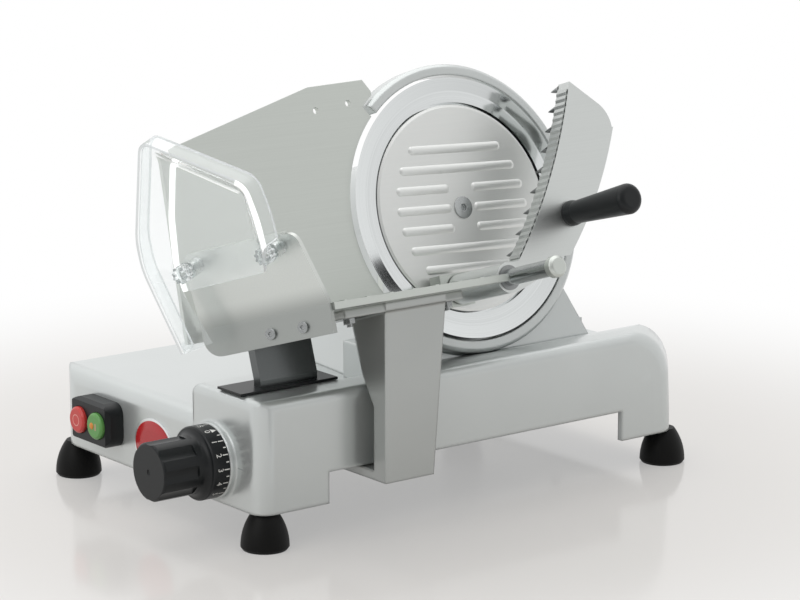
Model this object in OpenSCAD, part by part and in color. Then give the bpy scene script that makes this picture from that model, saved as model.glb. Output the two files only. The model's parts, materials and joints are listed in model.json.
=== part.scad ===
// Electric food slicer: a tilted round blade inside an open ring, a food carriage that slides
// past it on a rod hidden in the base, and a gauge plate that a numbered dial moves.
// Millimetres, +Z up, standing on four feet, origin under the middle of the whole part.
// In the blade's own frame X runs along the carriage stroke, Y up the blade face and
// Z out of the blade face towards the operator.

/* [Base] */
// Length of the base casting
base_len = 400; // [392:1:430]
// Depth of the base casting
base_dep = 270; // [264:1:300]
// Height of the feet under the base
foot_h = 27; // [24:1:30]
// Height of the rear deck
deck_top = 87; // [85:1:92]
// Height of the front beam
beam_top = 108; // [107:0.5:109]
// Depth of the front beam
beam_dep = 82; // [81:1:88]
// Height of the open underside of the beam between its legs
beam_gap = 50; // [49:0.5:52]
// Wall of the casting
wall = 5; // [4:0.5:6]
// Roof of the beam
roof = 9; // [8.5:0.5:10]
// Radius of the front left corner in plan
plan_r = 12.5; // [10:0.5:14]
// Radius of the other corners in plan
corner_r = 31; // [24:1:34]
// Depth of the beam to the foot of its rounded back
crest_dep = 69; // [66:1:72]
// Radius of the beam's rounded back
crest_r = 52; // [48:1:54]
// Length of the square block at the beam's left end
block_len = 93; // [90:1:98]
// Radius of the deck's edges
deck_r = 12; // [6:1:16]
// Radius of the beam's right end, seen from the front
end_r = 33; // [20:1:36]
// Radius of the top edges
edge_r = 7; // [4:0.5:8]
// Length of the left leg of the beam
leg_left = 59.5; // [58:0.5:62]
// Length of the right leg of the beam
leg_right = 65.3; // [60:0.1:68]
// Distance of a foot from the two faces at its corner
foot_inset = 12.5; // [12:0.5:16]
// Diameter of a foot on the ground
foot_d = 34.6; // [30:0.5:38]
// Diameter of a foot under the base
foot_neck_d = 18; // [16:0.5:22]
// Thickness of the bottom cover
cover_t = 1.5; // [1:0.25:2]

/* [Blade] */
// Blade centre, from the left end of the base
blade_left = 227.5; // [224:0.5:232]
// Blade centre, from the front face of the base
blade_set = 58.5; // [57:0.5:60]
// Height of the blade centre
blade_z = 211; // [210:0.5:213]
// Tilt of the blade away from vertical
tilt = 18; // [17:0.5:19]
// Radius of the blade
blade_r = 97.5; // [96:0.5:98]
// Radius of the stationary blade cover
cover_r = 77.3; // [74:0.1:77.5]
// Gap round the blade cover
cover_gap = 1.7; // [1.2:0.1:2]
// Gap between the blade edge and the ring
ring_gap = 2; // [1.5:0.5:3]
// Width of the ring
ring_w = 8.5; // [7:0.5:10]
// Radius of the spindle
spindle_r = 8.5; // [8:0.5:9]
// Outer radius of the hub bearings
bearing_r = 20; // [19:0.5:21]
// Radius of the pulley on the hub
hub_pulley_r = 34; // [32:0.5:36]
// Radius of the pulley on the motor
motor_pulley_r = 8; // [7.5:0.5:9]
// Radius of the motor
motor_r = 33; // [28:1:34]
// Length of the motor
motor_len = 86; // [70:1:92]
// Length of the motor hood behind the blade
hood_len = 108; // [104:1:120]
// Wall of the motor hood
hood_wall = 3; // [2.5:0.5:4]

/* [Gauge and dial] */
// Slice thickness that the dial is set to
slice_set = 3; // [0:0.5:15]
// Thickest slice
slice_max = 15; // [12:0.5:16]
// Thickness of the gauge plate
gauge_t = 4; // [3:0.5:5]
// Width of the gauge support
support_w = 49; // [46:1:52]
// Thickness of the gauge support
support_t = 8; // [7:0.5:9]
// Thickness of the slot cover
slot_cover_t = 1.8; // [1.5:0.1:2.5]
// Height of the dial's axis
dial_z = 57; // [56:0.5:58]
// Dial axis, from the front face of the base
dial_set = 55.5; // [54:0.5:56]
// Diameter of the numbered flange
dial_d = 53; // [50:0.5:56]
// Thickness of the numbered flange
dial_t = 13; // [10:0.5:14]
// Diameter of the fluted grip
grip_d = 42; // [38:0.5:44]
// Length of the fluted grip
grip_len = 37.4; // [34:0.2:42]
// Number of flutes in the grip
grip_flutes = 8; // [6:1:12]
// Radius of the dial shaft
dial_shaft_r = 6; // [5:0.5:6.5]

/* [Carriage] */
// Carriage table's top, below the blade centre
table_drop = 58; // [57:0.5:60]
// Thickness of the carriage table
table_t = 5; // [4:0.5:6]
// Depth of the carriage table
table_dep = 97; // [94:1:104]
// Left rear corner of the table, from the blade centre
table_left = 249; // [246:1:252]
// Right end of the table, from the blade centre
table_right = 46; // [45.5:0.5:50]
// Turn of the end plate away from square
wall_yaw = 23; // [21:0.5:25]
// Outward lean of the end plate
wall_lean = 14; // [12:0.5:16]
// Height of the end plate above the table
wall_h = 54; // [53:1:58]
// Thickness of the end plate
plate_t = 4; // [3:0.5:5]
// Distance from the end plate to the hand guard
guard_off = 13; // [11:0.5:16]
// Thickness of the hand guard
guard_t = 3; // [2.5:0.25:4]
// Depth of the hand guard's flared rim
guard_rim = 11; // [8:0.5:13]
// Left side of the carriage arm, from the left end of the base
arm_left = 90; // [88:0.5:92]
// Width of the carriage arm at its foot
arm_w = 43; // [40:1:46]
// Width of the carriage arm under the table
arm_top_w = 55; // [50:1:58]
// Wall of the carriage arm
arm_wall = 6; // [5:0.5:7]
// Distance of the arm's front from the base
arm_out = 25.5; // [23:0.5:27]
// Radius of the carriage guide rod
guide_r = 7; // [6:0.5:8]
// Radius of the second rail
rail_r = 5; // [4:0.5:6]

/* [Pusher] */
// Radius of the pusher rod
rod_r = 6; // [5:0.5:6.5]
// Pusher rod, left of the blade centre
rod_left = 31; // [30:0.5:32]
// Far end of the pusher rod, from the blade face
rod_end = 124; // [120:1:130]
// Radius of the pusher's sleeve
sleeve_r = 11; // [10:0.5:12]
// Length of the pusher's sleeve
sleeve_len = 58; // [50:1:60]
// Thickness of the pusher plate
pusher_t = 13; // [11:0.5:14]
// Front face of the pusher plate, from the blade face
pusher_n = 52; // [50:1:54]
// Width of the pusher plate
pusher_w = 42; // [40:1:44]
// Number of spikes in a row along the pusher's edge
spikes = 9; // [6:1:11]
// Length of a spike
spike_len = 9.5; // [8:0.5:11]
// Length of the pusher handle
handle_len = 70; // [64:1:76]
// Radius of the pusher handle at its end
handle_r = 11.3; // [10.5:0.1:12]

/* [Switch] */
// Width of the switch housing
switch_w = 49; // [48:0.5:54]
// Height of the switch housing
switch_h = 33; // [31:0.5:36]
// Middle of the switch housing, from the back of the base
switch_set = 72; // [66:0.5:80]
// Middle of the switch housing above the ground
switch_z = 56.5; // [55:0.5:58]
// How far the switch housing stands out
switch_out = 15; // [12:0.5:18]
// Diameter of a button
button_d = 20; // [18:0.5:20.5]
// Travel of a button
button_travel = 3; // [2:0.5:3.5]

/* [Clearances] */
// Round screws and pins that stay put
fit = 0.1; // [0.05:0.05:0.2]
// Round shafts that turn or slide
run = 0.05; // [0.03:0.01:0.08]
// Air between pieces that move past each other
air = 0.4; // [0.35:0.05:0.6]

/* [Hidden] */
$fn = 64;
eps = 1;
big = 600;

// Faces of the base, seen from its own middle
left = -base_len / 2;
right = base_len / 2;
front = -base_dep / 2;
rear = base_dep / 2;
beam_rear = front + beam_dep;
crest_rear = front + crest_dep;
block_x = left + block_len;
beam_ceiling = beam_top - roof;
deck_ceiling = deck_top - wall;
gap_left = left + leg_left;
gap_right = right - leg_right;
feet = [for (x = [left + foot_inset, right - foot_inset], y = [front + foot_inset, rear - foot_inset])
    [x, y]];
foot_foot = 2;
foot_bow = (pow(foot_h - foot_foot, 2) + pow((foot_d - foot_neck_d) / 2, 2)) / (foot_d - foot_neck_d);
foot_screw_r = 3;
foot_boss_h = 30;

// Bottom cover on its posts
cover_z = foot_h + 1;
post_r = 5;
post_inset = 50;
posts = [for (x = [left + post_inset, right - post_inset], y = [beam_rear + 12, rear - 20]) [x, y]];
small_screw_r = 2;
small_head_r = 4;
small_head_t = 2.5;

// Blade frame
blade_x = left + blade_left;
blade_y = front + blade_set;
function tilt_y(u, n) = blade_y + u * sin(tilt) - n * cos(tilt);
function tilt_z(u, n) = blade_z + u * cos(tilt) + n * sin(tilt);
function tilt_u(z, n) = (z - blade_z - n * sin(tilt)) / cos(tilt);

// Depths behind the blade face
ring_front = 1;
ring_back = 16;
ring_ri = blade_r + ring_gap;
ring_ro = ring_ri + ring_w;
ring_from = 226;
ring_to = 129;
trough_gap = 1;
neck_front = 14;
neck_skin = 5;
neck_wall = 6;
neck_back = 36;
plate_back = 42;
dome_r = 52;
flange_t = 7;
flange_rear = beam_rear + 14;
flange_front = tilt_y(tilt_u(beam_top, -neck_front), -neck_front) + 7;
flange_x0 = blade_x - 84;
flange_x1 = blade_x + 106;
bolt_r = 3;
bolt_head_r = 5;
bolt_head_t = 4;
housing_bolt_len = 18;
housing_bolt_spots = [for (x = [flange_x0 + 14, blade_x, flange_x1 - 14]) [x, flange_rear - 7]];

// Motor, beside and below the spindle
motor_x = 36;
motor_u = -45;
motor_shaft_r = 5;
motor_boss_r = 20;
motor_boss_t = 4;
rotor_r = 24;
motor_end_wall = 8;
pulley_front = 22;
pulley_back = 34;
belt_front = 23;
belt_back = 33;
belt_t = 2.5;
hub_back = neck_back - 0.6;
hub_front = 10;
blade_seat = 7;
hub_flange_r = 38;
hub_flange_t = 3;
hub_neck_r = 25;
pilot_r = 21;
lip_r = 16;
lip_t = 3.5;
bearing_w = 11;
blade_screw_pcd = 31;
hood_back = plate_back + hood_len;
hood_r = 45;
hood_tab = 12;

// Blade cover and its ribs
cover_front = 1.5;
cover_back = 6;
cover_boss_r = 12;
spindle_front = 9;
cap_head_r = 8.2;
cap_head_t = 3.8;
cap_front = 0.6;
cap_shank_r = 3;
rib_w = 6.6;
rib_h = 1.1;
rib_r = (rib_w * rib_w / 4 + rib_h * rib_h) / (2 * rib_h);
rib_pitch = 14.8;
rib_reach = 64;
rib_hub = 13.5;
rib_turn = -3;

// Gauge plate, support and slider
gauge_zero = 0.5;
gauge_n = slice_set + gauge_zero;
gauge_foot = -66;
tongue_top = -8;
tongue_t = 6;
bend_z = beam_top + 7;
bend_u = tilt_u(bend_z, -gauge_n);
support_y = tilt_y(bend_u, -gauge_n);
support_x = left + 23;
neck_x = left + 25;
neck_w = 32;
slot_cover_z = beam_top + air;
support_z = slot_cover_z + slot_cover_t;
slice_y = 1 / cos(tilt);
slot_side = 1.5;
slider_z0 = beam_ceiling - 17;
slider_z1 = beam_ceiling - 1;
slider_ahead = 8;
slider_dep = 30;
gauge_rod_r = 4;
gauge_rod_z = (slider_z0 + slider_z1) / 2;
gauge_rod_seat = 3;
gauge_rod_x = [neck_x + 6, neck_x + neck_w - 7];

// Dial, cam and follower
dial_y = front + dial_set;
dial_turn = 337.5;
cam_low = dial_shaft_r + 1.2;
cam_high = cam_low + slice_max * slice_y;
cam_rise = slice_max * slice_y / dial_turn;
cam_rest = cam_high - slice_set * slice_y;
cam_dwell = 20;
cam_x0 = left + 36;
cam_x1 = cam_x0 + 8;
cam_steps = 60;
pin_r = 2.5;
pin_gap = 0.6;
pin_y = dial_y - cam_rest - pin_r - pin_gap;
tab_x = cam_x1 + 0.8;
tab_t = 5;
tab_r = 5.5;
dial_boss_r = 12;
dial_boss_t = 6;
flute_r = 15;
flute_depth = 1.3;
grip_fillet = 5;
grip_edge = 2;
dial_edge = 1;
pad_t = 4.6;
pad_d = dial_d + 2;
dial_x = left - pad_t - air;

// Carriage, placed in the blade frame
table_n = 3;
table_u = -table_drop;
wall_len = table_dep / cos(wall_yaw);
table_fl = table_left - table_dep * tan(wall_yaw);
apron_h = 15.5;
apron_r = 14;
lug_t = 10;
end_screw_s = [wall_len * 0.53, wall_len * 0.78];
end_screw_t = -12.5;
end_screw_r = 4;
table_rib_h = 1;
table_rib_w = 3;
table_ribs = 7;
guard_leg_o = guard_off + guard_rim;
guard_skin = 0.2;
knob_s = [14, 82];
knob_t = 45;
knob_r = 6.5;
knob_len = 8;
stem_r = 2.5;
spacer_r = 6;

// Carriage arm, slider and rails
arm_front = front - arm_out;
arm_x = left + arm_left;
arm_foot_z = beam_gap - 8.5;
tongue_z = beam_gap - 1.5;
arm_leg = 14;
arm_knee_z = 95;
arm_flange_t = 6;
arm_flange_n = [22, 66];
arm_flange_over = [35, 14];
arm_bolt_inset = 9;
slider_y0 = front + 16;
slider_y1 = beam_rear - wall - 6;
slide_top = deck_ceiling - 3;
guide_y = front + 28;
guide_z = 68;
rail_y = beam_rear - wall - 16;
rail_z = 68;
rib_t = 6;
rib_z = 54;
bush_t = 2;
bush_len = 12;

// Pusher, hinged on its rod
rod_u = table_u - 2;
rod_lug = 12;
rod_lug_n = table_n + 0.5;
rod_cap_r = 7.8;
rod_cap_t = 8;
sleeve_n = rod_lug_n + rod_lug + 1.3;
pusher_bush_t = 1.5;
inner_arc = [-293, 225];
inner_arc_r = 400;
outer_arc = [-163.5, 169.7];
outer_arc_r = 263 + pusher_w;
pusher_foot = -50;
pusher_tip = [87, 39.5];
pusher_tip_r = 24;
pusher_slant = 51;
pusher_skin = 5;
web_t = 10;
handle_x = 56;
handle_u = -20;
handle_foot_r = 9.5;
handle_edge = 5;
spike_r = 2.6;
spike_rows = [3, 16];

// Switch on the left end
switch_y = rear - switch_set;
switch_deep = 20;
switch_rim = 3;
switch_r = 9;
switch_bevel = 4;
button_deep = 9;
button_spread = 12;
button_gap = 0.4;
button_out = 3.4;
stem_d = 8;

// Cord gland on the back
gland_x = left + 60;
gland_z = 52;
gland_r = 8;
gland_out = 14;

// The whole part's extent, which sets the origin
function end_x(s, t, o) = blade_x - table_left + s * sin(wall_yaw)
    - (t * sin(wall_lean) + o * cos(wall_lean)) * cos(wall_yaw);
x_min = min(dial_x - dial_t - grip_len,
            min([for (p = guard_edge(0)) end_x(p[0], p[1], guard_leg_o + guard_t + guard_skin)]));
x_max = max(right, right - foot_inset + foot_d / 2);
rod_cap_edge = 2;
y_min = min(tilt_y(rod_u - rod_cap_r + rod_cap_edge, rod_end + rod_cap_t),
            tilt_y(handle_u - handle_r + handle_edge, pusher_n + handle_len - handle_edge) - handle_edge);
origin_x = (x_min + x_max) / 2;
origin_y = (y_min + rear + gland_out) / 2;

module place() translate([-origin_x, -origin_y, 0]) children();
module tilted() place() translate([blade_x, blade_y, blade_z]) rotate([90 - tilt, 0, 0]) children();

// Frame of the end plate: X along it, Y up, Z outwards
module end_frame(lean) tilted() translate([-table_left, table_u, table_n])
    rotate([0, wall_yaw - 90, 0]) rotate([lean, 0, 0]) children();

// What is cut off a square corner at x, y to round it; sx and sy point out of the shape
module corner(x, y, r, sx, sy) difference() {
    translate([x - (sx > 0 ? r : eps), y - (sy > 0 ? r : eps)]) square(r + eps);
    translate([x - sx * r, y - sy * r]) circle(r);
}

// Rectangle with its two upper corners rounded
module arch(x0, x1, z0, z1, r0, r1) difference() {
    translate([x0, z0]) square([x1 - x0, z1 - z0]);
    if (r0 > 0) corner(x0, z1, r0, -1, 1);
    if (r1 > 0) corner(x1, z1, r1, 1, 1);
}

// Rectangle with all its corners rounded
module panel(x0, y0, x1, y1, r) difference() {
    translate([x0, y0]) square([x1 - x0, y1 - y0]);
    corner(x0, y0, r, -1, -1);
    corner(x1, y0, r, 1, -1);
    corner(x0, y1, r, -1, 1);
    corner(x1, y1, r, 1, 1);
}

// Bar with round ends
module bar(x0, x1, w) {
    translate([x0, -w / 2]) square([x1 - x0, w]);
    translate([x0, 0]) circle(d = w);
    translate([x1, 0]) circle(d = w);
}

module box(a, b) translate(a) cube(b - a);
module rod_x(x0, x1, y, z, r) translate([x0, y, z]) rotate([0, 90, 0]) cylinder(r = r, h = x1 - x0);
module rod_y(y0, y1, x, z, r) translate([x, y0, z]) rotate([-90, 0, 0]) cylinder(r = r, h = y1 - y0);
module along_x(x0, x1) translate([x0, 0, 0]) rotate([90, 0, 90]) linear_extrude(x1 - x0) children();
module along_y(y0, y1) translate([0, y1, 0]) rotate([90, 0, 0]) linear_extrude(y1 - y0) children();

// Base
module base_plan(inset) difference() {
    translate([left + inset, front + inset]) square([base_len - 2 * inset, base_dep - 2 * inset]);
    corner(left + inset, front + inset, plan_r - inset, -1, -1);
    corner(right - inset, front + inset, corner_r - inset, 1, -1);
    corner(left + inset, rear - inset, corner_r - inset, -1, 1);
    corner(right - inset, rear - inset, corner_r - inset, 1, 1);
}

// Block with rounded top edges: left, right, front and rear
module base_block(x0, x1, y0, y1, top, rl, rr, rf, rb) intersection() {
    along_y(front - eps, rear + eps) arch(x0, x1, foot_h - eps, top, rl, rr);
    along_x(left - eps, right + eps) arch(y0, y1, foot_h - eps, top, rf, rb);
}

module base_outside() intersection() {
    translate([0, 0, foot_h]) linear_extrude(beam_top) base_plan(0);
    union() {
        base_block(left, block_x, front, beam_rear, beam_top, edge_r, edge_r, edge_r, edge_r);
        base_block(left, right, front, crest_rear, beam_top, edge_r, end_r, edge_r, crest_r);
        base_block(left, right, front + edge_r, rear, deck_top, deck_r, deck_r, 0, deck_r);
    }
}

module base_hollows() intersection() {
    translate([0, 0, foot_h - eps]) linear_extrude(beam_top) base_plan(wall);
    union() {
        box([left + wall, front + wall, 0], [block_x - wall, beam_rear - wall, beam_ceiling]);
        base_block(left + wall, right - wall, front + wall, crest_rear - roof, beam_ceiling,
                   0, end_r - wall, 0, crest_r - roof);
        box([left + wall, front + wall, 0], [right - wall, beam_rear - wall, deck_ceiling]);
        box([left + wall, beam_rear, 0], [right - wall, rear - wall, deck_ceiling]);
    }
}

module base_supports() {
    for (p = feet) translate([p[0], p[1], foot_h]) cylinder(r = plan_r, h = foot_boss_h);
    for (p = posts) translate([p[0], p[1], cover_z + cover_t])
        cylinder(r = post_r, h = deck_ceiling + eps - cover_z - cover_t);
    for (x = [gap_left, gap_right])
        box([x, front + wall / 2, rib_z], [x + rib_t, beam_rear - wall / 2, beam_ceiling + eps]);
    rod_x(left + wall / 2, left + wall + dial_boss_t, dial_y, dial_z, dial_boss_r);
}

// Round pad on the left end that the dial turns against
module dial_pad() rod_x(left - pad_t, left + wall / 2, dial_y, dial_z, pad_d / 2);

module base_cuts() {
    box([gap_left, front - eps, foot_h - eps], [gap_right, front + wall + eps, beam_gap]);
    for (p = feet) translate([p[0], p[1], foot_h - eps])
        cylinder(r = foot_screw_r + fit, h = foot_boss_h - 5);
    for (p = posts) translate([p[0], p[1], cover_z]) cylinder(r = small_screw_r + fit, h = 14);
    for (p = housing_bolt_spots) translate([p[0], p[1], deck_ceiling - eps])
        cylinder(r = bolt_r + fit, h = wall + 2 * eps);
    box([neck_x - slot_side, support_y - slice_set * slice_y - slot_side, beam_ceiling - eps],
        [neck_x + neck_w + slot_side,
         support_y + support_t + (slice_max - slice_set) * slice_y + slot_side, beam_top + eps]);
    gauge_rod_pair(gauge_rod_r + fit);
    rod_x(left - pad_t - eps, left + wall + dial_boss_t + eps, dial_y, dial_z, dial_shaft_r + run);
    rod_x(cam_x0 - eps, cam_x1 + eps, dial_y, dial_z, cam_high + 1);
    rod_x(gap_left - eps, gap_right + rib_t + eps, guide_y, guide_z, guide_r + fit);
    rod_x(gap_left - eps, gap_right + rib_t + eps, rail_y, rail_z, rail_r + fit);
    switch_body(left - eps, left + wall + eps, fit);
    rod_y(rear - wall - eps, rear + eps, gland_x, gland_z, gland_r + fit);
    for (p = hood_screw_spots) translate([p[0], p[1], deck_ceiling - eps])
        cylinder(r = small_screw_r + fit, h = wall + 2 * eps);
    translate([blade_x, blade_y, blade_z]) rotate([90 - tilt, 0, 0])
        translate([0, 0, -ring_back - trough_gap]) cylinder(r = ring_ro + trough_gap, h = ring_back + 6);
}

module base_casting() color("gainsboro") place() difference() {
    union() {
        difference() {
            base_outside();
            base_hollows();
        }
        intersection() {
            base_outside();
            base_supports();
        }
        dial_pad();
    }
    base_cuts();
}

module bottom_cover() color("silver") place() difference() {
    intersection() {
        translate([0, 0, cover_z]) linear_extrude(cover_t) base_plan(wall + air);
        box([left, beam_rear + air, 0], [right, rear, beam_top]);
    }
    for (p = feet) translate([p[0], p[1], cover_z - eps]) cylinder(r = plan_r + air, h = cover_t + 2 * eps);
    for (p = posts) translate([p[0], p[1], cover_z - eps])
        cylinder(r = small_screw_r + fit, h = cover_t + 2 * eps);
}

module bottom_cover_screws() color("dimgray") place() for (p = posts) translate([p[0], p[1], cover_z]) {
    cylinder(r = small_screw_r, h = 12);
    translate([0, 0, -small_head_t]) cylinder(r = small_head_r, h = small_head_t);
}

module foot(p) color("#222222") place() translate([p[0], p[1], 0]) difference() {
    rotate_extrude() intersection() {
        polygon([[0, 0], [foot_d / 2 - 1.5, 0], [foot_d / 2, foot_foot], [foot_d / 2, foot_h], [0, foot_h]]);
        translate([foot_d / 2 - foot_bow, foot_foot]) circle(foot_bow);
    }
    translate([0, 0, -eps]) cylinder(r = foot_screw_r + fit, h = foot_h + 2 * eps);
    translate([0, 0, -eps]) cylinder(r = bolt_head_r + 1, h = 12 + eps);
}

module foot_front_left() foot(feet[0]);
module foot_rear_left() foot(feet[1]);
module foot_front_right() foot(feet[2]);
module foot_rear_right() foot(feet[3]);

module foot_screws() color("silver") place() for (p = feet) translate([p[0], p[1], 12 - bolt_head_t]) {
    cylinder(r = bolt_head_r, h = bolt_head_t);
    cylinder(r = foot_screw_r, h = bolt_head_t + foot_h - 12 + 20);
}

// Blade housing: the open ring and the pedestal behind it
module neck_dome(inset) circle(dome_r - inset);
module neck_legs(inset) polygon([[-88 + inset, -130], [-64 + inset, -62], [-46 + inset, 24],
                                 [46 - inset, 24], [86 - inset, -62], [115 - inset, -130]]);
module neck_outline(inset) {
    neck_dome(inset);
    neck_legs(inset);
}

module ring() difference() {
    rotate_extrude() polygon([[ring_ri, -ring_back], [ring_ro, -ring_back], [ring_ro, -ring_front - 2.5],
                              [ring_ro - 2.5, -ring_front], [ring_ri, -ring_front]]);
    translate([0, 0, -ring_back - eps]) linear_extrude(ring_back + eps)
        polygon([[0, 0], 2 * blade_r * [cos(ring_to), sin(ring_to)],
                 4 * blade_r * [cos((ring_to + ring_from) / 2), sin((ring_to + ring_from) / 2)],
                 2 * blade_r * [cos(ring_from), sin(ring_from)]]);
}

module below(z) box([-big, -big, -big], [big, big, z]);

module blade_housing() color("gainsboro") difference() {
    union() {
        tilted() ring();
        difference() {
            tilted() difference() {
                translate([0, 0, -neck_back]) linear_extrude(neck_back - neck_front) neck_outline(0);
                translate([0, 0, -neck_back - eps]) linear_extrude(neck_back + eps - neck_front - neck_skin)
                    difference() {
                        neck_outline(neck_wall);
                        for (p = plate_screw_spots) translate(p) circle(plate_screw_boss);
                    }
            }
            place() base_outside();
        }
        place() difference() {
            box([flange_x0, flange_front, deck_top - edge_r],
                [flange_x1, flange_rear, beam_top + flange_t]);
            base_outside();
        }
    }
    tilted() translate([0, 0, -neck_back]) cylinder(r = hub_neck_r + 3, h = neck_back);
    tilted() translate([0, 0, -neck_front]) cylinder(r = ring_ri, h = neck_front);
    place() for (p = housing_bolt_spots) translate([p[0], p[1], deck_top - eps])
        cylinder(r = bolt_r + fit, h = housing_bolt_len);
    tilted() spindle_plate_holes(-neck_back - eps, 12);
}

module housing_bolts() color("silver") place() for (p = housing_bolt_spots)
    translate([p[0], p[1], deck_ceiling - bolt_head_t]) {
        cylinder(r = bolt_head_r, h = bolt_head_t);
        cylinder(r = bolt_r, h = bolt_head_t + wall + housing_bolt_len - 2);
    }

// Plate that closes the pedestal and carries the spindle and the motor
plate_screw_spots = [[-32, 30], [32, 30], [-52, -56], [76, -62]];
plate_screw_boss = 6;
module spindle_plate_holes(n, h) for (p = plate_screw_spots)
    translate([p[0], p[1], n]) cylinder(r = small_screw_r + fit, h = h);

module spindle_plate() color("silver") difference() {
    tilted() difference() {
        union() {
            translate([0, 0, -plate_back]) linear_extrude(plate_back - neck_back) neck_dome(0);
            translate([0, 0, -plate_back]) linear_extrude(plate_back - neck_back) neck_legs(0);
        }
        translate([0, 0, -plate_back - eps]) cylinder(r = spindle_r + fit, h = plate_back);
        translate([motor_x, motor_u, -plate_back - eps]) cylinder(r = motor_shaft_r + 3, h = plate_back);
        spindle_plate_holes(-plate_back - eps, 10);
    }
    below(beam_top + flange_t + air);
}

module spindle_plate_screws() color("dimgray") tilted() for (p = plate_screw_spots)
    translate([p[0], p[1], -plate_back]) {
        cylinder(r = small_screw_r, h = 15);
        translate([0, 0, -small_head_t]) cylinder(r = small_head_r, h = small_head_t);
    }

module spindle() color("silver") tilted() difference() {
    union() {
        translate([0, 0, -plate_back]) cylinder(r = spindle_r, h = plate_back - spindle_front);
        translate([0, 0, -plate_back - 6]) cylinder(r = spindle_r + 5, h = 6);
    }
    translate([0, 0, -spindle_front - 16]) cylinder(r = cap_shank_r + fit, h = 17);
}

// Round bar with ball ends along X, sunk to leave rib_h of it standing
module rib(x0, x1) translate([x0, 0, rib_h - rib_r]) rotate([0, 90, 0]) rotate_extrude() intersection() {
    rotate(90) bar(0, x1 - x0, 2 * rib_r);
    translate([0, -big]) square(2 * big);
}

// Ribs of the blade cover, shorter away from the middle and split at the middle
module cover_ribs() for (row = [-3 : 3]) {
    reach = sqrt(pow(rib_reach, 2) - pow(row * rib_pitch, 2)) - rib_w;
    translate([0, row * rib_pitch, 0]) if (abs(row) < 2) {
        rib(-reach, -rib_hub);
        rib(rib_hub, reach);
    } else rib(-reach, reach);
}

module blade_cover() color("whitesmoke") tilted() difference() {
    union() {
        rotate_extrude() polygon([[0, -spindle_front], [cover_boss_r, -spindle_front],
                                  [cover_boss_r, -cover_back], [cover_r - 1, -cover_back],
                                  [cover_r, -cover_back + 1], [cover_r, -cover_front - 0.8],
                                  [cover_r - 2, -cover_front], [0, -cover_front]]);
        intersection() {
            translate([0, 0, -cover_front]) rotate([0, 0, rib_turn]) cover_ribs();
            translate([0, 0, -cover_front - 0.5]) cylinder(r = cover_r - 3, h = rib_h + 2);
        }
    }
    translate([0, 0, -spindle_front - eps]) cylinder(r = cap_shank_r + fit, h = 12);
    translate([0, 0, -cap_front - cap_head_t]) cylinder(r = cap_head_r + fit, h = 12);
}

module cover_screw() color("silver") tilted() difference() {
    union() {
        translate([0, 0, -cap_front - cap_head_t]) cylinder(r = cap_head_r, h = cap_head_t);
        translate([0, 0, -spindle_front - 14])
            cylinder(r = cap_shank_r, h = spindle_front + 14.5 - cap_front - cap_head_t);
    }
    translate([0, 0, -cap_front - 2.4]) cylinder(r = 2.9, h = 6, $fn = 6);
}

module blade_screw_holes(r, n0, n1) for (a = [90, 210, 330]) rotate([0, 0, a])
    translate([blade_screw_pcd, 0, n0]) cylinder(r = r, h = n1 - n0);

// Dished blade: flat hub, raised rim and a ground edge on the blade face
module blade() color("lightsteelblue") tilted() difference() {
    rotate_extrude() polygon([[pilot_r, -hub_front], [cover_r + 6, -hub_front], [blade_r - 7, -4],
                              [blade_r - 0.2, -0.6], [blade_r, 0], [blade_r - 9.5, -1.2],
                              [cover_r + cover_gap, -1.4], [cover_r + cover_gap, -blade_seat],
                              [pilot_r, -blade_seat]]);
    blade_screw_holes(small_screw_r + fit, -hub_front - eps, 0);
    blade_screw_holes(small_head_r + fit, -blade_seat - 1.6, 0);
}

module blade_screws() color("dimgray") tilted() {
    blade_screw_holes(small_screw_r, -hub_front - hub_flange_t + 0.4, -blade_seat - 1);
    blade_screw_holes(small_head_r, -blade_seat - 1.6, -blade_seat);
}

module blade_hub() color("silver") tilted() difference() {
    rotate_extrude() polygon([[bearing_r, -hub_back], [hub_pulley_r, -hub_back],
                              [hub_pulley_r, -belt_front + 2], [hub_neck_r, -belt_front + 2],
                              [hub_neck_r, -hub_front - hub_flange_t],
                              [hub_flange_r, -hub_front - hub_flange_t], [hub_flange_r, -hub_front],
                              [pilot_r, -hub_front], [pilot_r, -blade_seat], [lip_r, -blade_seat],
                              [lip_r, -blade_seat - lip_t], [bearing_r, -blade_seat - lip_t]]);
    blade_screw_holes(small_screw_r + fit, -hub_front - hub_flange_t - eps, 0);
}

module bearing(n) color("lightgray") tilted() translate([0, 0, -n - bearing_w]) difference() {
    cylinder(r = bearing_r, h = bearing_w);
    translate([0, 0, -eps]) cylinder(r = spindle_r + run, h = bearing_w + 2 * eps);
    for (z = [-eps, bearing_w - 1]) translate([0, 0, z]) difference() {
        cylinder(r = bearing_r - 4, h = 1 + eps);
        cylinder(r = spindle_r + 3.5, h = 1 + eps);
    }
}
module bearing_front() bearing(blade_seat + lip_t);
module bearing_rear() bearing(hub_back - bearing_w);

// Outline of a belt round two pulleys
module belt_loop(extra) hull() {
    circle(hub_pulley_r + extra);
    translate([motor_x, motor_u]) circle(motor_pulley_r + extra);
}

module drive_belt() color("#222222") tilted() translate([0, 0, -belt_back])
    linear_extrude(belt_back - belt_front) difference() {
        belt_loop(air + belt_t);
        belt_loop(air);
    }

module motor_axis() tilted() translate([motor_x, motor_u, -plate_back]) children();

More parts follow.
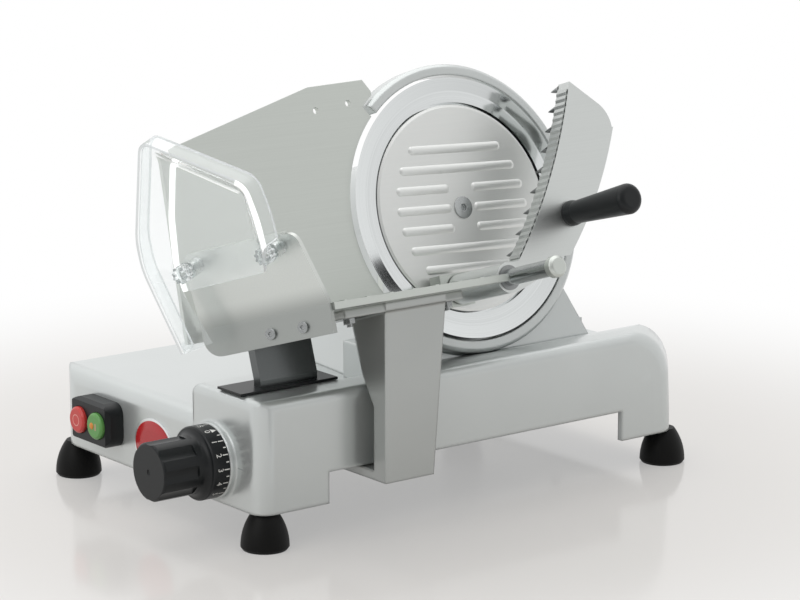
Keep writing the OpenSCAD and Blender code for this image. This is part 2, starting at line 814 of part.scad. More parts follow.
module motor_body() color("slategray") motor_axis() difference() {
    rotate_extrude() polygon([[0, 0], [motor_boss_r, 0], [motor_boss_r, -motor_boss_t],
                              [motor_r - 3, -motor_boss_t], [motor_r, -motor_boss_t - 3],
                              [motor_r, 3 - motor_len], [motor_r - 3, -motor_len], [0, -motor_len]]);
    translate([0, 0, motor_end_wall - motor_len])
        cylinder(r = rotor_r + 1, h = motor_len - 2 * motor_end_wall - motor_boss_t);
    translate([0, 0, 2 - motor_len]) cylinder(r = motor_shaft_r + run, h = motor_len);
}

module motor_rotor() color("silver") motor_axis() {
    translate([0, 0, 3 - motor_len])
        cylinder(r = motor_shaft_r, h = motor_len - 3 + plate_back - pulley_front);
    translate([0, 0, motor_end_wall + 2 - motor_len])
        cylinder(r = rotor_r, h = motor_len - 2 * motor_end_wall - motor_boss_t - 4);
}

module motor_pulley() color("dimgray") tilted() translate([motor_x, motor_u, -pulley_back]) difference() {
    cylinder(r = motor_pulley_r, h = pulley_back - pulley_front);
    translate([0, 0, -eps]) cylinder(r = motor_shaft_r, h = pulley_back);
}

// Motor hood: the pedestal's outline carried back over the motor, with a rounded rear edge
hood_foot_y = tilt_y(tilt_u(deck_top, -hood_back), -hood_back);
hood_screw_spots = [for (x = [blade_x - 58, blade_x + 76]) [x, hood_foot_y + hood_tab / 2]];

module hood_form(inset) intersection() {
    translate([0, 0, inset - hood_back]) linear_extrude(hood_len) neck_outline(inset);
    along_x(-big / 2, big / 2) difference() {
        translate([-big / 2, inset - hood_back]) square([big / 2 + dome_r - inset, hood_len]);
        corner(dome_r - inset, inset - hood_back, hood_r - inset, 1, -1);
    }
}

module motor_hood() color("gainsboro") difference() {
    union() {
        tilted() difference() {
            hood_form(0);
            hood_form(hood_wall);
            for (row = [0 : 4]) translate([-30, -62 + row * 11, -hood_back - eps])
                linear_extrude(hood_wall + 2 * eps) translate([38, 0]) bar(-32, 32, 4.5);
        }
        place() for (p = hood_screw_spots)
            box([p[0] - 8, p[1] - hood_tab / 2 - 4, deck_top],
                [p[0] + 8, p[1] + hood_tab / 2, deck_top + 4]);
    }
    below(deck_top);
    place() box([-big, -big, -big], [big, flange_rear + air, beam_top + flange_t + air]);
    place() for (p = hood_screw_spots) translate([p[0], p[1], deck_top - eps])
        cylinder(r = small_screw_r + fit, h = 20);
}

module hood_screws() color("dimgray") place() for (p = hood_screw_spots)
    translate([p[0], p[1], deck_top + 4]) {
        cylinder(r = small_head_r, h = small_head_t);
        translate([0, 0, -12]) cylinder(r = small_screw_r, h = 12);
    }

// Gauge plate with the blade's arc cut out of its right edge
module gauge_plate() color("lightgray") tilted() translate([0, 0, -gauge_n - gauge_t])
    linear_extrude(gauge_t) difference() {
        polygon([[-258, gauge_foot], [-251, 68], [-116.5, 102], [-68, 103], [-62, 94], [0, 60],
                 [0, gauge_foot]]);
        circle(blade_r + 2.5);
        intersection() {
            circle(ring_ro + 2);
            polygon([[0, 0], 3 * blade_r * [cos(ring_to + 2), sin(ring_to + 2)], [0, 3 * blade_r]]);
        }
        polygon([[0, -big], [0, big], 2 * [-31, 47], 2 * [-30, -40]]);
        translate([-113.6, 84.4]) circle(2.4);
        translate([-84.2, 87]) circle(2.4);
    }

// Side view of the support: upright through the slot, then leaning back with the plate
module support_side() {
    back_n = -gauge_n - support_t;
    back_y = support_y + support_t;
    polygon([[support_y, support_z], [support_y, bend_z],
             [tilt_y(gauge_foot, -gauge_n), tilt_z(gauge_foot, -gauge_n)],
             [tilt_y(gauge_foot, back_n), tilt_z(gauge_foot, back_n)],
             [back_y, tilt_z((back_y - blade_y + back_n * cos(tilt)) / sin(tilt), back_n)],
             [back_y, support_z]]);
}

gauge_screw_spots = [for (x = [12, support_w - 12], u = [gauge_foot + 14, tongue_top - 14])
    [support_x + x - blade_x, u]];

module gauge_support() color("silver") difference() {
    union() {
        place() along_x(support_x, support_x + support_w) support_side();
        place() box([neck_x, support_y, slider_z1],
                    [neck_x + neck_w, support_y + support_t, support_z + eps]);
        tilted() translate([support_x - blade_x, gauge_foot - eps, -gauge_n - gauge_t - tongue_t])
            cube([support_w, tongue_top - gauge_foot + eps, tongue_t]);
    }
    tilted() for (p = gauge_screw_spots) translate([p[0], p[1], -big / 2])
        cylinder(r = small_screw_r + fit, h = big / 2);
    tilted() translate([support_x - blade_x - eps, gauge_foot, -gauge_n - gauge_t])
        cube([support_w + 2 * eps, tongue_top - gauge_foot, gauge_t + eps]);
}

module gauge_screws() color("dimgray") tilted() for (p = gauge_screw_spots)
    translate([p[0], p[1], -gauge_n - gauge_t - tongue_t]) {
        translate([0, 0, -small_head_t]) cylinder(r = small_head_r, h = small_head_t);
        cylinder(r = small_screw_r, h = tongue_t);
    }

module slot_cover() color("#1c1c1c") place() difference() {
    box([left + 2, support_y - 6, slot_cover_z], [left + 86, support_y + 23, slot_cover_z + slot_cover_t]);
    box([neck_x - fit, support_y - fit, slot_cover_z - eps],
        [neck_x + neck_w + fit, support_y + support_t + fit, slot_cover_z + slot_cover_t + eps]);
}

// Slider on the gauge rods, with a tab beside the cam for the follower pin
module gauge_slider() color("silver") place() difference() {
    union() {
        box([neck_x, support_y - slider_ahead, slider_z0],
            [neck_x + neck_w, support_y - slider_ahead + slider_dep, slider_z1]);
        box([tab_x, pin_y - tab_r, dial_z], [tab_x + tab_t, pin_y + tab_r, slider_z0 + eps]);
        rod_x(tab_x, tab_x + tab_t, pin_y, dial_z, tab_r);
    }
    for (x = gauge_rod_x)
        rod_y(support_y - slider_ahead - eps, support_y + slider_dep, x, gauge_rod_z, gauge_rod_r + run);
    rod_x(tab_x - eps, tab_x + tab_t + eps, pin_y, dial_z, pin_r + fit);
}

module cam_pin() color("dimgray") place() rod_x(cam_x0, tab_x + tab_t, pin_y, dial_z, pin_r);

module gauge_rod_pair(r) for (x = gauge_rod_x)
    rod_y(front + wall - gauge_rod_seat, beam_rear - wall + gauge_rod_seat, x, gauge_rod_z, r);

module gauge_rods() color("silver") place() gauge_rod_pair(gauge_rod_r);

module dial_axis() place() translate([dial_x, dial_y, dial_z]) rotate([0, -90, 0]) children();

// Dial with a numbered flange that runs into a fluted grip
module dial_profile() {
    end = dial_t + grip_len;
    polygon([[0, 0], [dial_d / 2, 0], [dial_d / 2, dial_t - dial_edge], [dial_d / 2 - dial_edge, dial_t],
             [grip_d / 2, dial_t], [grip_d / 2, end - grip_edge], [grip_d / 2 - grip_edge, end],
             [2.2, end], [1.6, end - 0.8], [0, end - 1]]);
    translate([grip_d / 2 - grip_edge, end - grip_edge]) circle(grip_edge);
    difference() {
        translate([0, dial_t]) square([grip_d / 2 + grip_fillet - dial_edge, grip_fillet]);
        translate([grip_d / 2 + grip_fillet, dial_t + grip_fillet]) circle(grip_fillet);
    }
}

module dial_knob() color("#1c1c1c") dial_axis() difference() {
    rotate_extrude() dial_profile();
    for (i = [0 : grip_flutes - 1]) rotate([0, 0, i * 360 / grip_flutes])
        translate([grip_d / 2 + flute_r - flute_depth, 0, dial_t + grip_fillet + flute_r / 4])
            cylinder(r = flute_r, h = big);
    translate([0, 0, -eps]) cylinder(r = dial_shaft_r, h = 32);
}

module dial_shaft() color("silver") place() rod_x(dial_x - 30, cam_x1, dial_y, dial_z, dial_shaft_r);

// Snail cam: its radius falls evenly as the dial turns to thicker slices, with a dwell at the end
function cam_angle(turn) = 180 + turn - slice_set / slice_max * dial_turn;

module gauge_cam() color("goldenrod") place() along_x(cam_x0, cam_x1)
    translate([dial_y, dial_z]) difference() {
        polygon([for (i = [0 : cam_steps + 4])
            let (turn = min(i, cam_steps) * dial_turn / cam_steps + max(i - cam_steps, 0) * cam_dwell / 4,
                 r = max(cam_low, cam_high - cam_rise * turn))
            r * [cos(cam_angle(turn)), sin(cam_angle(turn))]]);
        circle(dial_shaft_r);
    }

// Carriage
module end_screw_holes(o, h) end_frame(0) for (s = end_screw_s)
    translate([s, end_screw_t, o]) cylinder(r = small_screw_r + fit, h = h);

module table_outline() difference() {
    polygon([[-table_left, table_n], [-table_fl, table_n + table_dep],
             [-table_right, table_n + table_dep], [-table_right, table_n]]);
    corner(-table_right, table_n + table_dep, 10, 1, 1);
}

module carriage_table() color("lightgray") difference() {
    union() {
        tilted() {
            translate([0, table_u, 0]) rotate([90, 0, 0]) linear_extrude(table_t) table_outline();
            for (i = [1 : table_ribs]) translate([-table_right - i * 20, table_u - eps, table_n + 8])
                rotate([0, -90, -90]) linear_extrude(table_rib_h + eps) bar(0, table_dep - 20, table_rib_w);
            translate([-table_right - eps, rod_u - sleeve_r - 1, rod_lug_n])
                cube([eps + table_right - rod_left + sleeve_r + 1, 2 * sleeve_r + 2, rod_lug]);
        }
        end_frame(0) translate([wall_len * 0.43, -table_t - 12, -plate_t - lug_t])
            cube([wall_len * 0.45, 12 + eps, lug_t]);
    }
    end_frame(0) translate([-big / 2, -big / 2, -plate_t]) cube(big);
    tilted() translate([-rod_left, rod_u, -eps]) cylinder(r = rod_r, h = big);
    end_screw_holes(-plate_t - 9, 9 + eps);
    tilted() for (p = arm_bolt_spots) translate([p[0], table_u - table_t - eps, p[1]]) rotate([-90, 0, 0]) {
        cylinder(r = small_screw_r + fit, h = table_t + 3);
        translate([0, 0, table_t + eps - 2]) cylinder(r = small_head_r + fit, h = 5);
    }
}

// End plate: a leaning wall over an upright apron
module end_plate() color("lightgray") difference() {
    union() {
        end_frame(wall_lean) translate([0, 0, -plate_t]) linear_extrude(plate_t) difference() {
            polygon([[0, -eps / 4], [wall_len, -eps / 4], [wall_len - 9, wall_h], [4, wall_h]]);
            corner(3.7, wall_h, 8, -1, 1);
            translate([wall_len - 9, wall_h]) rotate(9) corner(0, 0, 9, 1, 1);
        }
        end_frame(0) translate([0, 0, -plate_t]) linear_extrude(plate_t) difference() {
            translate([0, -table_t - apron_h]) square([wall_len, table_t + apron_h]);
            corner(0, -table_t - apron_h, apron_r, -1, -1);
        }
    }
    end_frame(wall_lean) for (s = knob_s) translate([s, knob_t, -plate_t - eps])
        cylinder(r = stem_r + fit, h = plate_t + 2 * eps);
    end_screw_holes(-plate_t - eps, plate_t + 2 * eps);
}

module end_plate_screws() color("dimgray") end_frame(0) for (s = end_screw_s)
    translate([s, end_screw_t, 0]) difference() {
        union() {
            cylinder(r = end_screw_r, h = 2);
            translate([0, 0, -plate_t - 8]) cylinder(r = small_screw_r, h = plate_t + 9);
        }
        translate([0, 0, 0.8]) cylinder(r = 1.7, h = 3, $fn = 6);
    }

// Clear hand guard: a panel with a flared rim on three sides and one leg
function guard_edge(d) = [[-9 + d, 36], [-10 + d, 62], [16 + d, 138 - d], [30, 144 - d], [96 - d, 101 - d],
                          [101 - d, 86], [98 - d, 48], [94 - d, 36]];
guard_panel = [[5, 36], [12, 66], [34, 117], [41, 119], [79, 94], [83, 82], [91, 48], [88, 36]];

module guard_slice(pts, o) translate([0, 0, o]) linear_extrude(guard_skin) polygon(pts);

module hand_guard() color("#e8f4f8", 0.4) end_frame(wall_lean) difference() {
    union() {
        difference() {
            hull() {
                guard_slice(guard_panel, guard_off);
                guard_slice(guard_edge(0), guard_leg_o + guard_t);
            }
            hull() {
                guard_slice(guard_panel, guard_off + guard_t);
                guard_slice(guard_edge(guard_t), guard_leg_o + guard_t + 0.3);
                translate([0, -4, 0]) guard_slice(guard_edge(guard_t + 2), guard_leg_o + guard_t + 0.3);
            }
        }
        translate([0, 0, guard_leg_o]) linear_extrude(guard_t) difference() {
            polygon([[-3, -10], [-9, 40], [16, 46], [16, -10]]);
            corner(16, -10, 9, 1, -1);
            corner(-3, -10, 6, -1, -1);
        }
    }
    for (s = knob_s) translate([s, knob_t, 0]) cylinder(r = stem_r + fit, h = guard_off + guard_t + eps);
}

module guard_spacers() color("white") end_frame(wall_lean) for (s = knob_s)
    translate([s, knob_t, 0]) difference() {
        cylinder(r = spacer_r, h = guard_off);
        translate([0, 0, -eps]) cylinder(r = stem_r + fit, h = guard_off + 2 * eps);
    }

module guard_knobs() color("white") end_frame(wall_lean) for (s = knob_s) translate([s, knob_t, 0]) {
    translate([0, 0, guard_off + guard_t]) linear_extrude(knob_len) difference() {
        circle(knob_r);
        for (i = [0 : 9]) rotate(i * 36) translate([knob_r + 1, 0]) circle(2);
    }
    translate([0, 0, -plate_t - 2]) cylinder(r = stem_r, h = plate_t + guard_off + guard_t + 3);
}

// Carriage arm: an open channel from the table down in front of the beam, with a foot under it
arm_flange_x = [arm_x - arm_flange_over[0], arm_x + arm_top_w + arm_flange_over[1]];
arm_bolt_spots = [for (x = [arm_flange_x[0] + arm_bolt_inset, arm_flange_x[1] - arm_bolt_inset],
    n = [arm_flange_n[0] + arm_bolt_inset, arm_flange_n[1] - arm_bolt_inset]) [x - blade_x, n]];
slider_bolt_spots = [for (x = [10, arm_w - 10]) [arm_x + x, (guide_y + rail_y) / 2]];

module arm_front_view(inset) polygon([[arm_x + inset, arm_foot_z + inset],
                                      [arm_x + arm_w - inset, arm_foot_z + inset],
                                      [arm_x + arm_top_w - inset, 190], [arm_x + inset, 190]]);

module arm_side_view() polygon([[arm_front, arm_foot_z], [arm_front + arm_leg, arm_foot_z],
                                [arm_front + arm_leg, arm_knee_z],
                                [arm_front + arm_leg + 13, arm_knee_z + 20],
                                [arm_front + arm_leg + 40, 190], [arm_front, 190]]);

module above_table_foot() tilted() translate([-big / 2, table_u - table_t, -big / 2]) cube(big);

module carriage_arm() color("gainsboro") difference() {
    union() {
        difference() {
            place() difference() {
                intersection() {
                    along_y(arm_front, arm_front + 80) arm_front_view(0);
                    along_x(-big / 2, big / 2) arm_side_view();
                }
                along_y(arm_front + arm_wall, arm_front + 90) arm_front_view(arm_wall);
            }
            above_table_foot();
        }
        place() box([arm_x, arm_front + arm_wall, arm_foot_z], [arm_x + arm_w, slider_y1, tongue_z]);
        tilted() box([arm_flange_x[0] - blade_x, table_u - table_t - arm_flange_t, arm_flange_n[0]],
                     [arm_flange_x[1] - blade_x, table_u - table_t, arm_flange_n[1]]);
    }
    tilted() for (p = arm_bolt_spots) translate([p[0], table_u - table_t - 10, p[1]]) rotate([-90, 0, 0])
        cylinder(r = small_screw_r + fit, h = 20);
    place() for (p = slider_bolt_spots) translate([p[0], p[1], arm_foot_z - eps]) {
        cylinder(r = bolt_r + fit, h = 20);
        cylinder(r = bolt_head_r + fit, h = bolt_head_t + eps);
    }
}

module arm_bolts() color("silver") tilted() for (p = arm_bolt_spots)
    translate([p[0], table_u, p[1]]) rotate([90, 0, 0]) {
        cylinder(r = small_head_r, h = 2);
        cylinder(r = small_screw_r, h = table_t + arm_flange_t + 6);
    }

module arm_nuts() color("dimgray") tilted() for (p = arm_bolt_spots)
    translate([p[0], table_u - table_t - arm_flange_t, p[1]]) rotate([90, 0, 0]) difference() {
        cylinder(r = 4.6, h = 4, $fn = 6);
        translate([0, 0, -eps]) cylinder(r = small_screw_r + fit, h = 6);
    }

module carriage_slider() color("silver") place() difference() {
    box([arm_x, slider_y0, tongue_z], [arm_x + arm_w, slider_y1, slide_top]);
    rod_x(arm_x - eps, arm_x + arm_w + eps, guide_y, guide_z, guide_r + bush_t);
    rod_x(arm_x - eps, arm_x + arm_w + eps, rail_y, rail_z, rail_r + run);
    for (p = slider_bolt_spots) translate([p[0], p[1], tongue_z - eps]) cylinder(r = bolt_r + fit, h = 14);
}

module slide_bushes() color("darkgoldenrod") place() for (x = [arm_x, arm_x + arm_w - bush_len])
    difference() {
        rod_x(x, x + bush_len, guide_y, guide_z, guide_r + bush_t);
        rod_x(x - eps, x + bush_len + eps, guide_y, guide_z, guide_r + run);
    }

module slider_bolts() color("silver") place() for (p = slider_bolt_spots)
    translate([p[0], p[1], arm_foot_z]) {
        cylinder(r = bolt_head_r, h = bolt_head_t);
        cylinder(r = bolt_r, h = tongue_z - arm_foot_z + 12);
    }

module guide_rod() color("silver") place() rod_x(gap_left, gap_right + rib_t, guide_y, guide_z, guide_r);
module second_rail() color("silver") place() rod_x(gap_left, gap_right + rib_t, rail_y, rail_z, rail_r);

// Pusher rod, and the spiked pusher that slides and swings on it
module pusher_axis() tilted() translate([-rod_left, rod_u, 0]) children();

module pusher_rod() color("silver") pusher_axis() translate([0, 0, rod_lug_n])
    cylinder(r = rod_r, h = rod_end - rod_lug_n);

module rod_cap() color("whitesmoke") pusher_axis() translate([0, 0, rod_end]) rotate_extrude()
    polygon([[0, 0], [rod_cap_r - 0.8, 0], [rod_cap_r, 0.8], [rod_cap_r, rod_cap_t - rod_cap_edge],
             [rod_cap_r - rod_cap_edge, rod_cap_t], [0, rod_cap_t]]);

module pusher_bush() color("darkgoldenrod") pusher_axis() translate([0, 0, sleeve_n - 0.8]) difference() {
    union() {
        cylinder(r = rod_r + pusher_bush_t, h = sleeve_len + 1.6);
        cylinder(r = rod_r + pusher_bush_t + 1.5, h = 0.6);
        translate([0, 0, sleeve_len + 1]) cylinder(r = rod_r + pusher_bush_t + 1.5, h = 0.6);
    }
    translate([0, 0, -eps]) cylinder(r = rod_r + run, h = sleeve_len + 4);
}

// Bowed plate with a slanted tip, seen along the rod; w is taken off all round
module pusher_outline(w) intersection() {
    difference() {
        translate(outer_arc) circle(outer_arc_r - w);
        translate(inner_arc) circle(inner_arc_r + w);
    }
    union() {
        translate([-20, pusher_foot + w]) square([160, pusher_tip[1] - pusher_foot - w]);
        translate(pusher_tip) circle(pusher_tip_r - w);
        translate(pusher_tip) rotate(pusher_slant) translate([-60, 0]) square([60 + pusher_tip_r - w, 60]);
    }
}

function spike_at(r, u) = [inner_arc[0] + sqrt(r * r - pow(u - inner_arc[1], 2)), u];
spike_foot = pusher_foot + 8;
spike_pitch = (pusher_tip[1] + 34 - spike_foot) / (spikes - 1);

module pusher() color("gainsboro") tilted() {
    difference() {
        translate([0, 0, pusher_n - pusher_t]) linear_extrude(pusher_t) pusher_outline(0);
        translate([0, 0, pusher_n - pusher_t - eps]) linear_extrude(pusher_t - pusher_skin + eps)
            pusher_outline(6);
    }
    for (row = [0, 1], i = [0 : spikes - 1 - row * 2]) {
        p = spike_at(inner_arc_r + spike_rows[row], spike_foot + spike_pitch * (i + row / 2));
        translate([p[0], p[1], pusher_n - pusher_t - spike_len])
            cylinder(r1 = 0.3, r2 = spike_r, h = spike_len + (row == 0 ? 0.5 : pusher_t - pusher_skin + 0.5));
    }
    difference() {
        union() {
            translate([-rod_left, rod_u, sleeve_n]) cylinder(r = sleeve_r, h = sleeve_len);
            translate([0, 0, pusher_n - web_t]) linear_extrude(web_t)
                polygon([[-rod_left, rod_u - sleeve_r], [-6, rod_u - 10], [28, pusher_foot - 9],
                         [48, pusher_foot + 4], [0, pusher_foot + 2], [-rod_left, rod_u + sleeve_r]]);
        }
        translate([-rod_left, rod_u, 0]) cylinder(r = rod_r + pusher_bush_t + run, h = big);
    }
}

module pusher_handle() color("#1c1c1c") tilted() translate([handle_x, handle_u, pusher_n])
    rotate_extrude() {
        polygon([[0, 0], [handle_foot_r, 0], [handle_foot_r, 3], [handle_foot_r - 1, 8],
                 [handle_r, handle_len - handle_edge], [handle_r - handle_edge, handle_len],
                 [0, handle_len]]);
        translate([handle_r - handle_edge, handle_len - handle_edge]) circle(handle_edge);
    }

// Switch on the left end, with bevelled front edges
module switch_side(half) polygon([[left, -half], [left - switch_out + switch_bevel, -half],
                                  [left - switch_out, switch_bevel / 2 - half],
                                  [left - switch_out, half - switch_bevel / 2],
                                  [left - switch_out + switch_bevel, half], [left, half]]);

module switch_front() intersection() {
    translate([left, switch_y, switch_z]) rotate([0, -90, 0]) linear_extrude(switch_out)
        panel(-switch_h / 2, -switch_w / 2, switch_h / 2, switch_w / 2, switch_r);
    translate([0, switch_y, switch_z - switch_h / 2]) linear_extrude(switch_h) switch_side(switch_w / 2);
    along_y(switch_y - switch_w / 2, switch_y + switch_w / 2) translate([0, switch_z])
        switch_side(switch_h / 2);
}

// Part of the switch housing that stands in the wall, grown by extra
module switch_body(x0, x1, extra)
    box([x0, switch_y - switch_w / 2 + switch_rim - extra, switch_z - switch_h / 2 + switch_rim - extra],
        [x1, switch_y + switch_w / 2 - switch_rim + extra, switch_z + switch_h / 2 - switch_rim + extra]);

module switch_housing() color("#1c1c1c") place() difference() {
    union() {
        switch_front();
        switch_body(left - eps, left + switch_deep, 0);
    }
    for (y = [switch_y - button_spread, switch_y + button_spread]) {
        rod_x(left - switch_out - eps, left - switch_out + button_deep, y, switch_z,
              button_d / 2 + button_gap);
        rod_x(left - switch_out, left + switch_deep + eps, y, switch_z, stem_d / 2 + run);
    }
}

module button(y, shade) color(shade) place() {
    translate([left - switch_out - button_out, y, switch_z]) rotate([0, 90, 0]) rotate_extrude()
        polygon([[0, 0], [button_d / 2 - 1.5, 0], [button_d / 2, 1.5],
                 [button_d / 2, button_out + button_deep - button_travel - air],
                 [0, button_out + button_deep - button_travel - air]]);
    rod_x(left - switch_out, left + switch_deep - button_travel, y, switch_z, stem_d / 2);
}
module stop_button() button(switch_y + button_spread, "firebrick");
module start_button() button(switch_y - button_spread, "forestgreen");

module control_board() color("darkgreen") place() {
    board_z = cover_z + cover_t;
    box([left + 60, switch_y - 30, board_z], [left + 130, switch_y + 30, board_z + 1.6]);
    translate([left + 80, switch_y - 10, board_z + 1]) cylinder(r = 12, h = 32);
    box([left + 100, switch_y - 20, board_z + 1], [left + 120, switch_y + 10, board_z + 18]);
}

module cord_gland() color("#222222") place() translate([gland_x, rear, gland_z]) rotate([-90, 0, 0])
    difference() {
        union() {
            translate([0, 0, -wall - 4]) cylinder(r = gland_r, h = wall + 5);
            rotate_extrude() polygon([[0, 0], [gland_r + 3, 0], [gland_r + 3, 4], [gland_r - 2, gland_out],
                                      [0, gland_out]]);
        }
        translate([0, 0, -wall - 5]) cylinder(r = 3.6, h = big);
    }

base_casting();
bottom_cover();
bottom_cover_screws();
foot_front_left();
foot_front_right();
foot_rear_left();
foot_rear_right();
foot_screws();
blade_housing();
housing_bolts();
spindle_plate();
spindle_plate_screws();
spindle();
blade_cover();
cover_screw();
blade();
blade_screws();
blade_hub();
bearing_front();
bearing_rear();
drive_belt();
motor_body();
motor_rotor();
motor_pulley();
motor_hood();
hood_screws();
gauge_plate();
gauge_support();
gauge_screws();
slot_cover();
gauge_slider();
cam_pin();
gauge_rods();
dial_knob();
dial_shaft();
gauge_cam();
carriage_table();
end_plate();
end_plate_screws();
hand_guard();
guard_spacers();
guard_knobs();
carriage_arm();
arm_bolts();
arm_nuts();
carriage_slider();
slide_bushes();
slider_bolts();
guide_rod();
second_rail();
pusher_rod();
rod_cap();
pusher_bush();
pusher();
pusher_handle();
switch_housing();
stop_button();
start_button();
control_board();
cord_gland();
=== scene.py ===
import json
import math

import bpy
from mathutils import Matrix, Vector


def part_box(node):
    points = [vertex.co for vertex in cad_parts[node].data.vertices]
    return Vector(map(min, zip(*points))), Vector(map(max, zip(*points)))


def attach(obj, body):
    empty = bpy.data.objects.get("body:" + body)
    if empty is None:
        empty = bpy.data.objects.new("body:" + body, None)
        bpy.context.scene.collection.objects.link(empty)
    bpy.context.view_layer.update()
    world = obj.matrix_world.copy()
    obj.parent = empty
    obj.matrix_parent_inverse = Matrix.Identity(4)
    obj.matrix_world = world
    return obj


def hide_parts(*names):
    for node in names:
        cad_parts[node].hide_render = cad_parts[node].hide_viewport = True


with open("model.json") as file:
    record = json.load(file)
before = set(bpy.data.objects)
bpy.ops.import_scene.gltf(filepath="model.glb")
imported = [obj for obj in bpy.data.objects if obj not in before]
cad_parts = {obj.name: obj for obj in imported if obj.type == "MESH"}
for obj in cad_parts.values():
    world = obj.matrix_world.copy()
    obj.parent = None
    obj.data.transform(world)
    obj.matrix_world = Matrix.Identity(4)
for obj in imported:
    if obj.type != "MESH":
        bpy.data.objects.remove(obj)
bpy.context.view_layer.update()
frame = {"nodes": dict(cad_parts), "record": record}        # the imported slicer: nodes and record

nodes = frame["nodes"]
scene = bpy.context.scene
scene.view_settings.view_transform = "Standard"
mm = 0.001

bpy.ops.object.select_all(action="DESELECT")

# Places that the pieces are set from, all read from the frame
castLow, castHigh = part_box("base_casting")
baseLength, baseDepth = 0.4, 0.27
baseMid = Vector((castHigh.x - baseLength / 2, castLow.y + baseDepth / 2, 0))
leftEnd = castHigh.x - baseLength

bladeSettings = {"fromMid": (27.5, -76.5, 211), "tilt": 18}
bladeTilt = math.radians(bladeSettings["tilt"])
bladeCentre = baseMid + Vector(bladeSettings["fromMid"]) * mm
bladeTurn = math.pi / 2 - bladeTilt
bladePlace = Matrix.Translation(bladeCentre)
bladeFrame = bladePlace @ Matrix.Rotation(bladeTurn, 4, "X")  # along x, up the blade and out of it

endPlate = {"corner": (-249, -58, 3), "turn": 23, "lean": 14}
turnedEnd = Matrix.Rotation(math.radians(endPlate["turn"] - 90), 4, "Y")
endTurn = turnedEnd @ Matrix.Rotation(math.radians(endPlate["lean"]), 4, "X")
endPlace = Matrix.Translation(Vector(endPlate["corner"]) * mm)
endFrame = bladeFrame @ endPlace @ endTurn  # along, up and out of the end plate


def srgb(colour):
    parts = [int(colour[i:i + 2], 16) / 255 for i in (1, 3, 5)]
    linear = [c / 12.92 if c <= 0.04045 else ((c + 0.055) / 1.055) ** 2.4 for c in parts]
    return (*linear, 1)


def addNode(tree, kind, inputs=None, **settings):
    node = tree.nodes.new("ShaderNode" + kind)
    for name, value in settings.items():
        setattr(node, name, value)
    for name, value in (inputs or {}).items():
        if isinstance(value, bpy.types.NodeSocket):
            tree.links.new(value, node.inputs[name])
        else:
            node.inputs[name].default_value = value
    return node


def newMaterial(name, **sockets):
    material = bpy.data.materials.new(name)
    material.use_nodes = True
    tree = material.node_tree
    tree.nodes.clear()
    shader = addNode(tree, "BsdfPrincipled", sockets)
    addNode(tree, "OutputMaterial", {"Surface": shader.outputs[0]})
    return material, tree, shader


def perMetre(size):
    return 1 / (size * mm)


# Cast aluminium, ground smooth and anodised silver: half a soft mirror, with a faint orange peel
def smoothCasting(name, light, dark, rounded):
    look = {"peel": 2.2, "cloud": 70}
    material, tree, shader = newMaterial(name, **{"Metallic": 0.6, "Roughness": 0.28, "IOR": 1.5,
                                         "Coat Weight": 0.3, "Coat Roughness": 0.1})
    place = addNode(tree, "TexCoord").outputs["Object"]
    cloud = addNode(tree, "TexNoise", {"Vector": place, "Scale": perMetre(look["cloud"]), "Detail": 2.0})
    tone = addNode(tree, "Mix", {"Factor": cloud.outputs["Fac"], "A": srgb(dark), "B": srgb(light)},
                   data_type="RGBA")
    peel = addNode(tree, "TexNoise", {"Vector": place, "Scale": perMetre(look["peel"]), "Detail": 3.0})
    soft = addNode(tree, "Bevel", {"Radius": rounded * mm}, samples=8)  # the grinder runs over every edge
    bump = addNode(tree, "Bump", {"Height": peel.outputs["Fac"], "Strength": 0.05, "Distance": 0.3 * mm,
                   "Normal": soft.outputs["Normal"]})
    tree.links.new(tone.outputs["Result"], shader.inputs["Base Color"])
    tree.links.new(bump.outputs["Normal"], shader.inputs["Normal"])
    tree.links.new(bump.outputs["Normal"], shader.inputs["Coat Normal"])
    return material


# Rolled aluminium, brushed along the stroke and anodised: pale, soft reflections with faint streaks
def anodisedAluminium(name, light, dark, roughness):
    look = {"streakLong": 90, "streakWide": 0.9}  # real brushing is finer; drawn as coarse as it shows
    material, tree, shader = newMaterial(name, **{"Metallic": 1.0, "Roughness": roughness})
    place = addNode(tree, "TexCoord").outputs["Object"]
    along = addNode(tree, "Mapping", {"Vector": place, "Scale": (perMetre(look["streakLong"]),
                    perMetre(look["streakWide"]), perMetre(look["streakWide"]))})
    streak = addNode(tree, "TexNoise", {"Vector": along.outputs["Vector"], "Scale": 1.0, "Detail": 3.0})
    tone = addNode(tree, "Mix", {"Factor": streak.outputs["Fac"], "A": srgb(dark), "B": srgb(light)},
                   data_type="RGBA")
    rough = addNode(tree, "MapRange", {"Value": streak.outputs["Fac"], "To Min": roughness - 0.05,
                    "To Max": roughness + 0.05})
    bump = addNode(tree, "Bump", {"Height": streak.outputs["Fac"], "Strength": 0.04, "Distance": 0.1 * mm})
    tree.links.new(tone.outputs["Result"], shader.inputs["Base Color"])
    tree.links.new(rough.outputs["Result"], shader.inputs["Roughness"])
    tree.links.new(bump.outputs["Normal"], shader.inputs["Normal"])
    return material
